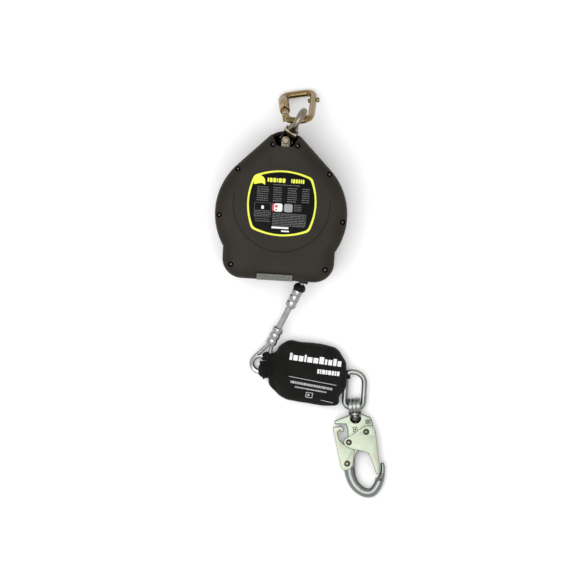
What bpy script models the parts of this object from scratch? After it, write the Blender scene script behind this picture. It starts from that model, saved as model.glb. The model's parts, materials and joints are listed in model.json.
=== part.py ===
"""Self retracting lifeline, lying on its back.

The origin lies under the drum's axis, on the back of the housing. +Z is the way the housing's
face looks, +Y runs towards the anchor carabiner, and the lifeline leaves towards -Y.
Every size below is in millimetres, and every angle in degrees. The helpers turn them into metres.
"""

from math import acos, asin, atan2, ceil, cos, pi, radians, sin, sqrt

import bmesh
import bpy
from mathutils import Matrix, Vector

MM = 0.001
GAP = 0.3  # left between two pieces that touch

# Housing: a circle, two flanks at 45 degrees up to a round apex, and a wider foot.
BODY_R = 93.7
BODY_Y = -15.0
APEX_R = 34.0
APEX_Y = 69.4
FOOT_X = 79.3
FOOT_Y = -108.7
FOOT_R = 28.0
DEPTH = 108.0
MID_Z = DEPTH / 2
WALL = 4.0
RIM_R = 14.0  # the rounding of the housing's front and back edges

# Cover screws: x, y, and how far each boss reaches into the rounding, where no side wall holds it
SCREWS = [(17.5, 82.4, 11.0), (65.0, 45.2, 0.0), (87.6, -21.4, 0.0), (66.9, -90.3, 9.0)]
BOSS_R = 5.0
HEAD_R = 3.0
SHANK_R = 1.8

# Drum, rope and frame
ROPE_R = 2.8
LEAD_R = 59.59  # the radius at which the rope leaves the drum
FLANGE_R = 66.0
CORE_R = 24.0
CHANNEL = 32.0
SHAFT_R = 8.0
PLATE = 3.0
REAR_PLATE_Z = 16.0
FRONT_PLATE_Z = 86.0
TEETH = 12

# Anchor: a block that swings on the anchor bolt, and a yoke that tilts on the block's trunnions
ANCHOR = Vector((0.0, 89.6, MID_Z))
YOKE_LEAN = 29.0
YOKE_TILT = 47.4
TINE_IN = 5.9
TINE_OUT = 8.9
EYE_AT = 50.6  # the swivel eye's centre, along the yoke
EYE_R = 14.2
EYE_ROD = 4.3

# Carabiner, in its own plane: w across, u from the narrow end to the wide one
KRAB_AT = Vector((17.1, 118.5, 93.1))
KRAB_TURN = 11.0
KRAB_DROP = 65.6
KRAB_LONG = 94.5  # from the bar at the eye to the bar at the wide end
KRAB_ROD = 4.8
GATE_FOOT = (-17.6, 22.4)

# Lifeline end
EXIT = Vector((36.5, FOOT_Y, MID_Z))
LINE_LEAN = 24.0
LINE_DROP = 18.8
FERRULE_1 = (13.6, 42.3)
FERRULE_2 = (77.8, 105.6)
LOOP_AT = 139.1
LOOP_R = 12.7

# Energy absorber, link and hook
PACK_Z = (0.6, 36.6)
HOOK = Vector((122.4, -291.7, 12.3))
HOOK_TURN = 9.1
LINK_ROD = 4.0
BOW_ROD = 6.3


# ---------------------------------------------------------------- scene and helpers


def clear_scene():
    for old in list(bpy.data.objects):
        bpy.data.objects.remove(old, do_unlink=True)


def collection(name):
    made = bpy.data.collections.new(name)
    bpy.context.scene.collection.children.link(made)
    return made


clear_scene()
PARTS = collection("self_retracting_lifeline")
CUTTERS = collection("cutters")


def material(name, colour, roughness, metallic=0.0):
    made = bpy.data.materials.new(name)
    made.use_nodes = True
    shader = made.node_tree.nodes["Principled BSDF"]
    shader.inputs["Base Color"].default_value = (*colour, 1.0)
    shader.inputs["Roughness"].default_value = roughness
    shader.inputs["Metallic"].default_value = metallic
    return made


NYLON = material("housing_nylon", (0.036, 0.031, 0.027), 0.55)
RUBBER = material("black_rubber", (0.012, 0.012, 0.012), 0.7)
ZINC = material("zinc_plate", (0.62, 0.63, 0.60), 0.32, 1.0)
PASSIVATED = material("yellow_zinc_plate", (0.72, 0.78, 0.60), 0.35, 1.0)
GOLD = material("gold_zinc_plate", (0.60, 0.42, 0.16), 0.3, 1.0)
STEEL = material("bright_steel", (0.66, 0.66, 0.66), 0.25, 1.0)
DARK_STEEL = material("spring_steel", (0.18, 0.19, 0.2), 0.4, 1.0)
ALUMINIUM = material("cast_aluminium", (0.6, 0.6, 0.6), 0.45, 1.0)
BRONZE = material("bushing_bronze", (0.55, 0.36, 0.16), 0.4, 1.0)
FRICTION = material("brake_lining", (0.1, 0.07, 0.05), 0.8)
ROPE = material("wire_rope", (0.55, 0.55, 0.54), 0.4, 1.0)
SLEEVE = material("clear_grey_sleeve", (0.33, 0.33, 0.33), 0.4)
CLOTH = material("black_cloth", (0.012, 0.012, 0.013), 0.85)
WEBBING = material("black_webbing", (0.015, 0.015, 0.015), 0.8)
LABEL = material("printed_label", (0.02, 0.02, 0.02), 0.35)
STRIP = material("grey_label", (0.35, 0.36, 0.34), 0.45)


def pivot(name, at, columns=None):
    """An empty on a joint's axis: what it holds is modelled in its frame, in millimetres."""
    made = bpy.data.objects.new(name, None)
    turn = Matrix(columns).transposed().to_4x4() if columns else Matrix.Identity(4)
    made.matrix_world = Matrix.Translation(Vector(at) * MM) @ turn
    PARTS.objects.link(made)
    return made


def place(name, data, mat, parent, cutter):
    made = bpy.data.objects.new(name, data)
    if not data.materials:
        data.materials.append(mat)
    (CUTTERS if cutter else PARTS).objects.link(made)
    made.parent = parent
    if cutter:
        made.hide_render = True
        made.display_type = "WIRE"
    return made


def smooth(mesh, angle=35.0):
    mesh.shade_smooth()
    mesh.set_sharp_from_angle(angle=radians(angle))


def box(name, low, high, mat, parent=None, cutter=False):
    bm = bmesh.new()
    bmesh.ops.create_cube(bm, size=1.0)
    low, high = Vector(low) * MM, Vector(high) * MM
    size = Matrix.Diagonal((*(high - low), 1.0))
    bmesh.ops.transform(bm, matrix=Matrix.Translation((low + high) / 2) @ size, verts=bm.verts)
    mesh = bpy.data.meshes.new(name)
    bm.to_mesh(mesh)
    bm.free()
    return place(name, mesh, mat, parent, cutter)


def aim(start, end):
    """The matrix that takes +Z at the origin to the way from start to end, at their middle."""
    start, end = Vector(start), Vector(end)
    turn = (end - start).to_track_quat("Z", "Y").to_matrix().to_4x4()
    return Matrix.Translation((start + end) / 2 * MM) @ turn


def cylinder(name, radius, start, end, mat, parent=None, cutter=False, sides=16):
    bm = bmesh.new()
    length = (Vector(end) - Vector(start)).length
    bmesh.ops.create_cone(
        bm,
        cap_ends=True,
        segments=sides,
        radius1=radius * MM,
        radius2=radius * MM,
        depth=length * MM,
        matrix=aim(start, end),
    )
    mesh = bpy.data.meshes.new(name)
    bm.to_mesh(mesh)
    bm.free()
    smooth(mesh)
    return place(name, mesh, mat, parent, cutter)


def turned(name, profile, mat, parent=None, closed=False, sides=28, at=(0, 0, 0), turn=None, cutter=False):
    """A profile of (radius, height), down its outer side, turned about the local Z axis."""
    mesh = bpy.data.meshes.new(name)
    edges = [(i, i + 1) for i in range(len(profile) - 1)]
    if closed:
        edges.append((len(profile) - 1, 0))
    mesh.from_pydata([(r * MM, 0.0, z * MM) for r, z in profile], edges, [])
    made = place(name, mesh, mat, parent, cutter)
    screw = made.modifiers.new("turn", "SCREW")
    screw.steps = screw.render_steps = sides
    screw.use_merge_vertices = True
    screw.merge_threshold = 0.00001
    screw.use_smooth_shade = True
    made.matrix_basis = Matrix.Translation(Vector(at) * MM) @ (turn or Matrix.Identity(4))
    return made


def ring(name, inner, outer, low, high, mat, parent=None, sides=28, **more):
    """A flat ring or a tube between two heights."""
    profile = [(outer, high), (outer, low), (inner, low), (inner, high)]
    return turned(name, profile, mat, parent, closed=True, sides=sides, **more)


def rod(name, points, radius, mat, parent=None, loop=False, radii=None, res=2, cutter=False):
    """A round bar along points, with a radius factor for each if it tapers."""
    curve = bpy.data.curves.new(name, "CURVE")
    curve.dimensions = "3D"
    curve.bevel_depth = radius * MM
    curve.bevel_resolution = res
    curve.use_fill_caps = True
    spline = curve.splines.new("POLY")
    spline.points.add(len(points) - 1)
    for i, point in enumerate(points):
        spline.points[i].co = (*(Vector(point) * MM), 1.0)
        spline.points[i].radius = radii[i] if radii else 1.0
    spline.use_cyclic_u = loop
    return place(name, curve, mat, parent, cutter)


def flat(name, outlines, low, high, mat, parent=None, cutter=False):
    """A plate from a 2D outline, and its holes, between two heights."""
    curve = bpy.data.curves.new(name, "CURVE")
    curve.dimensions = "2D"
    curve.fill_mode = "BOTH"
    curve.extrude = (high - low) / 2 * MM
    for outline in outlines:
        spline = curve.splines.new("POLY")
        spline.points.add(len(outline) - 1)
        for i, (x, y) in enumerate(outline):
            spline.points[i].co = (x * MM, y * MM, 0.0, 1.0)
        spline.use_cyclic_u = True
    made = place(name, curve, mat, parent, cutter)
    made.location.z = (low + high) / 2 * MM
    return made


def as_mesh(curve_object):
    """The same object with a welded mesh in place of its curve, so that it can be cut or joined."""
    bpy.context.view_layer.update()
    depsgraph = bpy.context.evaluated_depsgraph_get()
    mesh = bpy.data.meshes.new_from_object(curve_object.evaluated_get(depsgraph))
    bm = bmesh.new()
    bm.from_mesh(mesh)
    bmesh.ops.remove_doubles(bm, verts=bm.verts, dist=0.000001)
    bmesh.ops.recalc_face_normals(bm, faces=bm.faces)
    bm.to_mesh(mesh)
    bm.free()
    smooth(mesh)
    name, parent, place_of = curve_object.name, curve_object.parent, curve_object.matrix_world.copy()
    hidden, shown_as = curve_object.hide_render, curve_object.display_type
    home = curve_object.users_collection[0]
    bpy.data.objects.remove(curve_object)
    made = bpy.data.objects.new(name, mesh)
    home.objects.link(made)
    made.parent = parent
    made.matrix_world = place_of
    made.hide_render, made.display_type = hidden, shown_as
    return made


def boolean(target, other, operation):
    step = target.modifiers.new(operation.lower(), "BOOLEAN")
    step.operation = operation
    step.object = other
    step.solver = "EXACT"


def cut(target, *cutters):
    for cutter in cutters:
        boolean(target, cutter, "DIFFERENCE")


def join(target, *others):
    for other in others:
        boolean(target, other, "UNION")


def arc(centre, radius, start, end, steps):
    """Points on an arc, from one angle to another."""
    turns = [radians(start + (end - start) * i / steps) for i in range(steps + 1)]
    return [(centre[0] + radius * cos(t), centre[1] + radius * sin(t)) for t in turns]


def circle(centre, radius, sides=24):
    return arc(centre, radius, 0.0, 360.0, sides)[:-1]


def rounded_rectangle(half_x, half_y, radius, steps=4):
    points = []
    for start, sx, sy in ((0, 1, 1), (90, -1, 1), (180, -1, -1), (270, 1, -1)):
        points += arc((sx * (half_x - radius), sy * (half_y - radius)), radius, start, start + 90, steps)
    return points


def spread(points, step):
    """Points no further apart than step along straight runs through points."""
    found = [Vector(points[0])]
    for a, b in zip(points, points[1:]):
        a, b = Vector(a), Vector(b)
        count = max(1, ceil((b - a).length / step))
        found += [a.lerp(b, (i + 1) / count) for i in range(count)]
    return found


# ---------------------------------------------------------------- housing


def housing_outline(inset=0.0):
    """The right half of the housing's outline, from the apex down, drawn in by inset, mirrored."""
    tangent = 45.0
    foot_x = FOOT_X - inset
    body_r = BODY_R - inset
    waist = -acos(foot_x / body_r) * 180 / pi
    half = arc((0, APEX_Y), APEX_R - inset, 90, tangent, 4)
    half += arc((0, BODY_Y), body_r, tangent, waist, 8)
    corner = (FOOT_X - FOOT_R, FOOT_Y + FOOT_R)
    half += arc(corner, FOOT_R - inset, 0, -90, 4)
    left = [(-x, y) for x, y in reversed(half) if x > 0.01]
    return half + left


def housing_half(name, low, high):
    """An open shell, closed at the height high, whose rim is rounded there, made solid inwards."""
    side = 1.0 if high > low else -1.0
    levels = [(low, 0.0), (high - side * RIM_R, 0.0)]
    for i in (1, 2, 3):
        turn = radians(90 * i / 3)
        levels.append((high - side * RIM_R * (1 - sin(turn)), RIM_R * (1 - cos(turn))))
    bm = bmesh.new()
    rows = []
    for z, inset in levels:
        rows.append([bm.verts.new((x * MM, y * MM, z * MM)) for x, y in housing_outline(inset)])
    for below, above in zip(rows, rows[1:]):
        for i in range(len(below)):
            j = (i + 1) % len(below)
            bm.faces.new((below[i], below[j], above[j], above[i]))
    bm.faces.new(rows[-1])
    bmesh.ops.recalc_face_normals(bm, faces=bm.faces)
    if max(bm.faces, key=lambda f: len(f.verts)).normal.z * side < 0:
        bmesh.ops.reverse_faces(bm, faces=bm.faces)
    mesh = bpy.data.meshes.new(name)
    bm.to_mesh(mesh)
    bm.free()
    smooth(mesh)
    made = place(name, mesh, NYLON, None, False)
    shell = made.modifiers.new("wall", "SOLIDIFY")
    shell.thickness = WALL * MM
    shell.offset = -1.0
    shell.use_even_offset = True
    return made


def screw_places():
    return [(s * x, y, reach) for x, y, reach in SCREWS for s in (-1, 1)]


def covers():
    split = GAP / 2
    rear = housing_half("rear_cover", MID_Z - split, 0.0)
    front = housing_half("front_cover", MID_Z + split, DEPTH)
    for i, (x, y, reach) in enumerate(screw_places()):
        low, high = (x, y, RIM_R - reach), (x, y, DEPTH - RIM_R + reach)
        join(rear, cylinder(f"rear_boss_{i}", BOSS_R, low, (x, y, MID_Z - split), NYLON, cutter=True))
        join(front, cylinder(f"front_boss_{i}", BOSS_R, (x, y, MID_Z + split), high, NYLON, cutter=True))
        pilot = cylinder(f"pilot_{i}", SHANK_R + GAP, (x, y, 22), (x, y, 92), NYLON, cutter=True, sides=12)
        well = cylinder(f"well_{i}", HEAD_R + 0.5, (x, y, 90), (x, y, 120), NYLON, cutter=True, sides=16)
        cut(rear, pilot)
        cut(front, pilot, well)
        head = [(0, 93.2), (HEAD_R - 0.6, 93.2), (HEAD_R, 92.6), (HEAD_R, 90.3), (SHANK_R, 90.3)]
        shank = [(SHANK_R, 26.0), (0.6, 24.0), (0, 24.0)]
        turned(f"cover_screw_{i + 1}", head + shank, STEEL, sides=12, at=(x, y, 0))
    # The notch for the yoke goes through the front cover, and only part way into the rear one.
    fan = [(-11.5, 81.5), (11.5, 81.5), (27, 112), (-27, 112)]
    notch = as_mesh(flat("notch", [fan], 42, 120, NYLON, cutter=True))
    way = lead_line()[1]
    port = cylinder("rope_port", 7.8, EXIT - way * 30, EXIT + way * 12, NYLON, cutter=True)
    cut(rear, notch, port)
    cut(front, notch, port)


def lead_line():
    """Where the rope leaves the drum at a tangent, and the way it runs from there to the exit."""
    turn = atan2(EXIT.y, EXIT.x) + acos(LEAD_R / EXIT.xy.length)
    start = Vector((LEAD_R * cos(turn), LEAD_R * sin(turn), MID_Z))
    return start, (EXIT - start).normalized()


def labels():
    """The face label is a bulged square; the other lies along the rounding of the foot."""
    corner, bulge = (41.0, 38.0), (49.0, 46.5)
    half_top = [(-corner[0], corner[1]), (-21, 44.6), (0, bulge[1]), (21, 44.6), (corner[0], corner[1])]
    half_right = [(47.2, 19.0), (bulge[0], 0.0), (47.2, -19.0)]
    bottom = [(x, -y) for x, y in reversed(half_top)]
    left = [(-x, y) for x, y in reversed(half_right)]
    flat("front_label", [half_top + half_right + bottom + left], DEPTH + GAP, DEPTH + 1.0, LABEL)
    slope = RIM_R * (1 - cos(radians(45)))
    holder = pivot(
        "edge_label_place",
        (-4.0, FOOT_Y + slope, DEPTH - slope),
        [(1, 0, 0), (0, sqrt(0.5), sqrt(0.5)), (0, -sqrt(0.5), sqrt(0.5))],
    )
    flat("edge_label", [rounded_rectangle(25.5, 6.0, 1.0, 2)], 0.5, 1.1, STRIP, holder)


# ---------------------------------------------------------------- frame, drum, brake and spring


def frame_plates():
    half = [(10.5, 76), (21, 70.5), (46, 51), (54, 42), (60, 22), (62, 0), (66, -30), (66, -68), (50, -88)]
    outline = half + [(-x, y) for x, y in reversed(half)]
    spots = [(x, y) for x, y in SPACERS]
    for name, z in (("rear_frame_plate", REAR_PLATE_Z), ("front_frame_plate", FRONT_PLATE_Z)):
        holes = [circle((0, 0), SHAFT_R + GAP)] + [circle(p, 2.8, 12) for p in spots]
        flat(name, [outline] + holes, z, z + PLATE, ZINC)
    for i, (x, y) in enumerate(spots):
        low, high = REAR_PLATE_Z + PLATE + GAP, FRONT_PLATE_Z - GAP
        under, over = REAR_PLATE_Z - 2.2, FRONT_PLATE_Z + PLATE + 2.2
        profile = [(0, over), (4.2, over), (4.2, high + PLATE + 2 * GAP), (2.5, high + PLATE + 2 * GAP)]
        profile += [(2.5, high), (4.4, high), (4.4, low), (2.5, low), (2.5, low - PLATE - 2 * GAP)]
        profile += [(4.2, low - PLATE - 2 * GAP), (4.2, under), (0, under)]
        turned(f"frame_spacer_{i + 1}", profile, STEEL, sides=12, at=(x, y, 0))


SPACERS = [(-60, -62), (60, -62)]


def anchor_bracket():
    """A cross plate between the frame plates, with two tongues that hold the anchor bolt."""
    low, high = REAR_PLATE_Z + PLATE + GAP, FRONT_PLATE_Z - GAP
    made = box("anchor_bracket", (-24, 71.6, low), (24, 75.6, high), ZINC)
    x, y, z = ANCHOR
    for i, (under, over) in enumerate(((z - 14, z - 11), (z + 11, z + 14))):
        outline = arc((x, y), 5.6, 0, 180, 8) + [(-5.6, 74), (5.6, 74)]
        tongue = as_mesh(flat(f"tongue_{i}", [outline], under, over, ZINC, cutter=True))
        join(made, tongue)
    hole = cylinder("bolt_hole", 3.8, (x, y, z - 20), (x, y, z + 20), ZINC, cutter=True)
    cut(made, hole)
    head = [(0, z + 17.4), (3.9, z + 17.4), (4.8, z + 16.6), (4.8, z + 14.3), (3.5, z + 14.3)]
    turned("anchor_bolt", head + [(3.5, z - 18), (0, z - 18)], STEEL, sides=24, at=(x, y, 0))
    flat("anchor_nut", [circle((x, y), 6.4, 6), circle((x, y), 3.9, 20)], z - 17.6, z - 14.3, STEEL)


def shaft():
    profile = [(0, 96), (SHAFT_R - 1, 96), (SHAFT_R, 95), (SHAFT_R, 13), (SHAFT_R - 1, 12), (0, 12)]
    turned("main_shaft", profile, STEEL, sides=24)


def drum(parent):
    low, high = MID_Z - CHANNEL / 2, MID_Z + CHANNEL / 2
    flange = 2.5
    outer = [(15, 84), (15, high + flange), (FLANGE_R, high + flange), (FLANGE_R, high), (CORE_R, high)]
    outer += [(CORE_R, low), (FLANGE_R, low), (FLANGE_R, low - flange), (12, low - flange), (12, 84)]
    turned("drum", outer, ALUMINIUM, parent, closed=True, sides=32)
    ring("drum_bushing", SHAFT_R + GAP, 12 - GAP, low - flange, 84, BRONZE, parent, sides=24)
    ring("wound_rope", CORE_R + GAP, LEAD_R - ROPE_R - 2.0, low + GAP, high - GAP, ROPE, parent, sides=32)


def ratchet_ring(parent):
    """An internal ratchet: each tooth rises slowly and drops steeply."""
    inside = []
    for i in range(TEETH):
        start = i * 2 * pi / TEETH
        for turn, radius in ((0.02, 44.0), (0.60, 44.0), (0.86, 40.5), (0.98, 40.5)):
            angle = start + turn * 2 * pi / TEETH + PAWL_PHASE
            inside.append((radius * cos(angle), radius * sin(angle)))
    flat("ratchet_ring", [circle((0, 0), 50, 36), inside], 24, 30, DARK_STEEL, parent)


PAWL_PHASE = radians(8.0)


def brake():
    ring("rear_brake_pad", 44.5, 50, REAR_PLATE_Z + PLATE + GAP, 23.7, FRICTION)
    ring("front_brake_pad", 44.5, 50, 30.3, 32.2, FRICTION)
    ring("pressure_plate", 44.5, 53, 32.5, 34.8, DARK_STEEL)


def pawl(number, parent):
    """A pawl in its own frame: it turns at the origin and its nose points along +Y."""
    body = arc((0, 0), 5.5, 150, 360, 8) + [(6.5, 9), (3.5, 20.0), (-1.5, 20.5), (-4.5, 10)]
    flat(f"pawl_{number}", [body, circle((0, 0), 2.6, 16)], 24.5, 29.5, DARK_STEEL, parent)


def spring():
    cup = [(52, 84.5), (52, 74.5), (50.5, 74.5), (50.5, 83), (17, 83), (17, 84.5)]
    turned("spring_cup", cup, DARK_STEEL, closed=True, sides=32)
    turns, per_turn, inner, outer = 4, 16, 17.0, 46.0
    edge_in, edge_out = [], []
    for i in range(turns * per_turn + 1):
        angle = 2 * pi * i / per_turn
        radius = inner + (outer - inner) * i / (turns * per_turn)
        edge_in.append((radius * cos(angle), radius * sin(angle)))
        edge_out.append(((radius + 1.2) * cos(angle), (radius + 1.2) * sin(angle)))
    flat("mainspring", [edge_out + edge_in[::-1]], 75.5, 82.5, DARK_STEEL)


# ---------------------------------------------------------------- anchor end

GATE_LONG = KRAB_LONG - GATE_FOOT[1] - 12.4  # it stops just short of the nose


def yoke_axes():
    """Across the trunnions, along the yoke, and the third way, which leans up from the face."""
    lean, tilt = radians(YOKE_LEAN), radians(YOKE_TILT)
    across = Vector((cos(lean), -sin(lean), 0.0))
    along = Vector((sin(lean) * cos(tilt), cos(lean) * cos(tilt), sin(tilt)))
    return across, along, across.cross(along)


def trunnion_block():
    across = yoke_axes()[0]
    holder = pivot("anchor_swing_axis", ANCHOR)
    made = cylinder("trunnion_block", 5.6, (0, 0, -10.7), (0, 0, 10.7), ZINC, holder)
    join(made, cylinder("trunnions", 3.3, across * -9.4, across * 9.4, ZINC, holder, cutter=True))
    cut(made, cylinder("block_bore", 3.8, (0, 0, -20), (0, 0, 20), ZINC, holder, cutter=True))


def yoke(holder):
    """Two tines with round ends, a cross barrel between them, and a bore for the eye's stem."""
    made = cylinder("yoke", 6.0, (-9.9, 21, 0), (9.9, 21, 0), ZINC, holder)
    for side in (-1, 1):
        near, far = side * TINE_IN, side * TINE_OUT
        end = cylinder(f"tine_end_{side}", 6.3, (near, 0, 0), (far, 0, 0), ZINC, holder, cutter=True)
        low, high = sorted((near + side * 0.1, far - side * 0.1))
        arm = box(f"tine_arm_{side}", (low, 0.3, -4.9), (high, 20, 4.9), ZINC, holder, cutter=True)
        join(made, arm, end)
    cut(made, cylinder("trunnion_holes", 3.6, (-20, 0, 0), (20, 0, 0), ZINC, holder, cutter=True))
    cut(made, cylinder("stem_bore", 4.0, (0, 8, 0), (0, 40, 0), ZINC, holder, cutter=True))


def swivel_eye(holder):
    """A stem with a collar and a forged ring, whose crown is thicker than its sides."""
    points, radii = [], []
    for i in range(24):
        turn = 2 * pi * i / 24
        points.append((0, EYE_AT + EYE_R * sin(turn), EYE_R * cos(turn)))
        radii.append(1.0 + 0.35 * max(0.0, sin(turn)) ** 2)
    made = as_mesh(rod("swivel_eye", points, EYE_ROD, ZINC, holder, loop=True, radii=radii, res=3))
    collar = cylinder("eye_collar", 7.2, (0, 27.4, 0), (0, 36.0, 0), ZINC, holder, cutter=True)
    stem = cylinder("eye_stem", 3.6, (0, 13.4, 0), (0, 34, 0), ZINC, holder, cutter=True)
    join(made, collar, stem)


def krab_axes():
    turn, drop = radians(KRAB_TURN), radians(KRAB_DROP)
    across = Vector((cos(turn), sin(turn), 0.0))
    down = Vector((-sin(turn) * cos(drop), cos(turn) * cos(drop), -sin(drop)))
    return across, down, across.cross(down)


def carabiner_body(holder):
    """The bar from the gate's foot, round the narrow end, up the spine and across to the nose."""
    foot = GATE_FOOT
    far = KRAB_LONG
    line = [(foot[0] + 0.6, 15.2)] + [(-13.5, 8.5), (-8.0, 3.6), (-1.5, 0.6)]
    line += [(5.0, -0.2), (11.0, 1.8), (15.6, 6.4), (18.2, 13.5)]
    line += [(20.0, 25.0), (22.4, 47.0), (24.6, 69.0), (25.3, far - 12.0), (23.6, far - 5.2)]
    line += [(18.5, far - 0.9), (11.5, far + 0.2), (0.0, far), (-9.0, far - 0.5)]
    line += [(-14.6, far - 2.1), (-17.6, far - 6.1), (-18.0, far - 11.5)]
    steps = [Vector((w, u, 0)) for w, u in line]
    radii = [1.0] * len(line)
    made = as_mesh(rod("carabiner_body", steps, KRAB_ROD, GOLD, holder, radii=radii, res=3))
    for side in (-1, 1):
        low, high = sorted((side * 2.4, side * 5.0))
        outline = arc(foot, 5.0, 0, 180, 8) + [(foot[0] - 5.0, 14.2), (foot[0] + 5.0, 14.2)]
        cheek = as_mesh(flat(f"cheek_{side}", [outline], low, high, GOLD, holder, cutter=True))
        join(made, cheek)
    w, u = foot
    cut(made, cylinder("gate_pin_bore", 2.0, (w, u, -9), (w, u, 9), GOLD, holder, cutter=True, sides=16))
    bore = ((14.0, 66.3, 0), (34.0, 65.0, 0))
    cut(made, cylinder("captive_bore", 2.3, *bore, GOLD, holder, cutter=True, sides=16))
    cylinder("captive_pin", 2.0, (17.0, 66.1, 0), (32.2, 65.1, 0), GOLD, holder, sides=16)


def carabiner_gate(holder):
    """Gate and lock sleeve, in the frame of the gate's pin."""
    made = cylinder("carabiner_gate", 4.7, (0, 7.0, 0), (0, GATE_LONG, 0), GOLD, holder, sides=20)
    tongue = box("gate_tongue", (-4.4, -2.6, -2.1), (4.4, 9, 2.1), GOLD, holder, cutter=True)
    knuckle = cylinder("gate_knuckle", 4.4, (0, 0, -2.1), (0, 0, 2.1), GOLD, holder, cutter=True)
    join(made, tongue, knuckle)
    cut(made, cylinder("gate_bore", 2.0, (0, 0, -9), (0, 0, 9), GOLD, holder, cutter=True, sides=16))
    top = GATE_LONG
    profile = [(6.7, top), (7.3, top - 1.2), (7.3, 18.5), (6.6, 17.0), (5.1, 17.0), (5.1, top)]
    turn = Matrix.Rotation(radians(-90), 4, "X")
    turned("lock_sleeve", profile, GOLD, holder, closed=True, sides=24, turn=turn)
    cylinder("gate_pin", 1.7, (0, 0, -6.2), (0, 0, 6.2), STEEL, holder, sides=16)


def anchor_end():
    trunnion_block()
    across, along, third = yoke_axes()
    holder = pivot("yoke_tilt_axis", ANCHOR, [across, along, third])
    yoke(holder)
    swivel_eye(holder)
    w_axis, u_axis, n_axis = krab_axes()
    krab = pivot("carabiner_axis", KRAB_AT, [w_axis, u_axis, n_axis])
    carabiner_body(krab)
    foot = KRAB_AT + w_axis * GATE_FOOT[0] + u_axis * GATE_FOOT[1]
    carabiner_gate(pivot("gate_axis", foot, [w_axis, u_axis, n_axis]))


# ---------------------------------------------------------------- lifeline end


def line_axes():
    """Along the line, level across it, and the way its loop's axis points."""
    lean, drop = radians(LINE_LEAN), radians(LINE_DROP)
    along = Vector((-sin(lean) * cos(drop), -cos(lean) * cos(drop), -sin(drop)))
    across = Vector((cos(lean), -sin(lean), 0.0))
    return along, across, along.cross(across)


def ferrule(name, span, holder):
    """A pressed sleeve: three bands with two waists between them."""
    start, end = span
    band, waist, length = 6.6, 5.5, end - start
    profile = [(band - 0.8, end), (band, end - 0.9)]
    for centre in (0.67, 0.33):
        at = start + length * centre
        profile += [(band, at + 3.2), (waist, at + 1.8), (waist, at - 1.8), (band, at - 3.2)]
    profile += [(band, start + 0.9), (band - 0.8, start), (5.0, start), (5.0, end)]
    turned(name, profile, STEEL, holder, closed=True, sides=16, turn=LINE_TURN)


LINE_TURN = Matrix(((0, 0, 1, 0), (1, 0, 0, 0), (0, 1, 0, 0), (0, 0, 0, 1)))


def lifeline_end():
    start, way = lead_line()
    lead = spread([start + way * 0.5, EXIT - way * 0.5], 14.0)
    rod("lifeline_lead", lead, ROPE_R, ROPE, pivot("rope_run", (0, 0, 0)))
    turn = way.to_track_quat("Z", "Y").to_matrix().to_4x4()
    profile = [(8.6, 3.9), (9.6, 3.6), (9.6, 2.4), (7.3, 2.4), (7.3, -6.5), (4.0, -6.5), (4.0, 3.9)]
    turned("exit_guide", profile, RUBBER, closed=True, sides=24, at=EXIT, turn=turn)

    along, across, third = line_axes()
    holder = pivot("line_swing_axis", EXIT, [along, across, third])
    cone = [(7.8, 13.2), (8.7, 12.6), (8.7, 10.0), (4.8, 7.0), (3.4, 7.0), (3.4, 13.2)]
    turned("bumper", cone, RUBBER, holder, closed=True, sides=20, turn=LINE_TURN)
    ferrule("upper_ferrule", FERRULE_1, holder)
    ferrule("lower_ferrule", FERRULE_2, holder)
    sleeve_span = (FERRULE_1[1] + GAP, FERRULE_2[0] - GAP)
    rod("rope_sleeve", [(sleeve_span[0], 0, 0), (sleeve_span[1], 0, 0)], 4.7, SLEEVE, holder, res=4)
    lifeline_loop(holder)
    groove = [(13.6, 3.7), (13.6, 3.15), (9.5, 3.15), (9.5, -3.15), (13.6, -3.15), (13.6, -3.7)]
    groove += [(9.2, -3.7), (8.2, -2.4), (8.2, 2.4), (9.2, 3.7)]
    turned("thimble", groove, STEEL, holder, closed=True, sides=24, at=(LOOP_AT, 0, 0))


def lifeline_loop(holder):
    """The rope from the lower ferrule round the thimble and back, as one closed teardrop."""
    neck = FERRULE_2[1] + 6.0
    reach = LOOP_AT - neck
    tangent = asin(LOOP_R / reach)
    start = 180 - (90 - tangent * 180 / pi)
    loop = arc((LOOP_AT, 0), LOOP_R, start, -start, 16)
    tip = [(neck, -1.2), (neck, 1.2)]
    middle = [((x + tip[1][0]) / 2, (y + tip[1][1]) / 2) for x, y in loop[:1]]
    back = [((x + tip[0][0]) / 2, (y + tip[0][1]) / 2) for x, y in loop[-1:]]
    points = middle + loop + back
    ends = spread([(*middle[0], 0), (neck - 2.0, 3.1, 0)], 6.0)
    other = spread([(*back[0], 0), (neck - 2.0, -3.1, 0)], 6.0)
    path = [*reversed(ends[1:]), *[Vector((x, y, 0)) for x, y in points], *other[1:]]
    rod("lifeline_loop", path, ROPE_R, ROPE, holder)


# ---------------------------------------------------------------- absorber, link and hook


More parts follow.
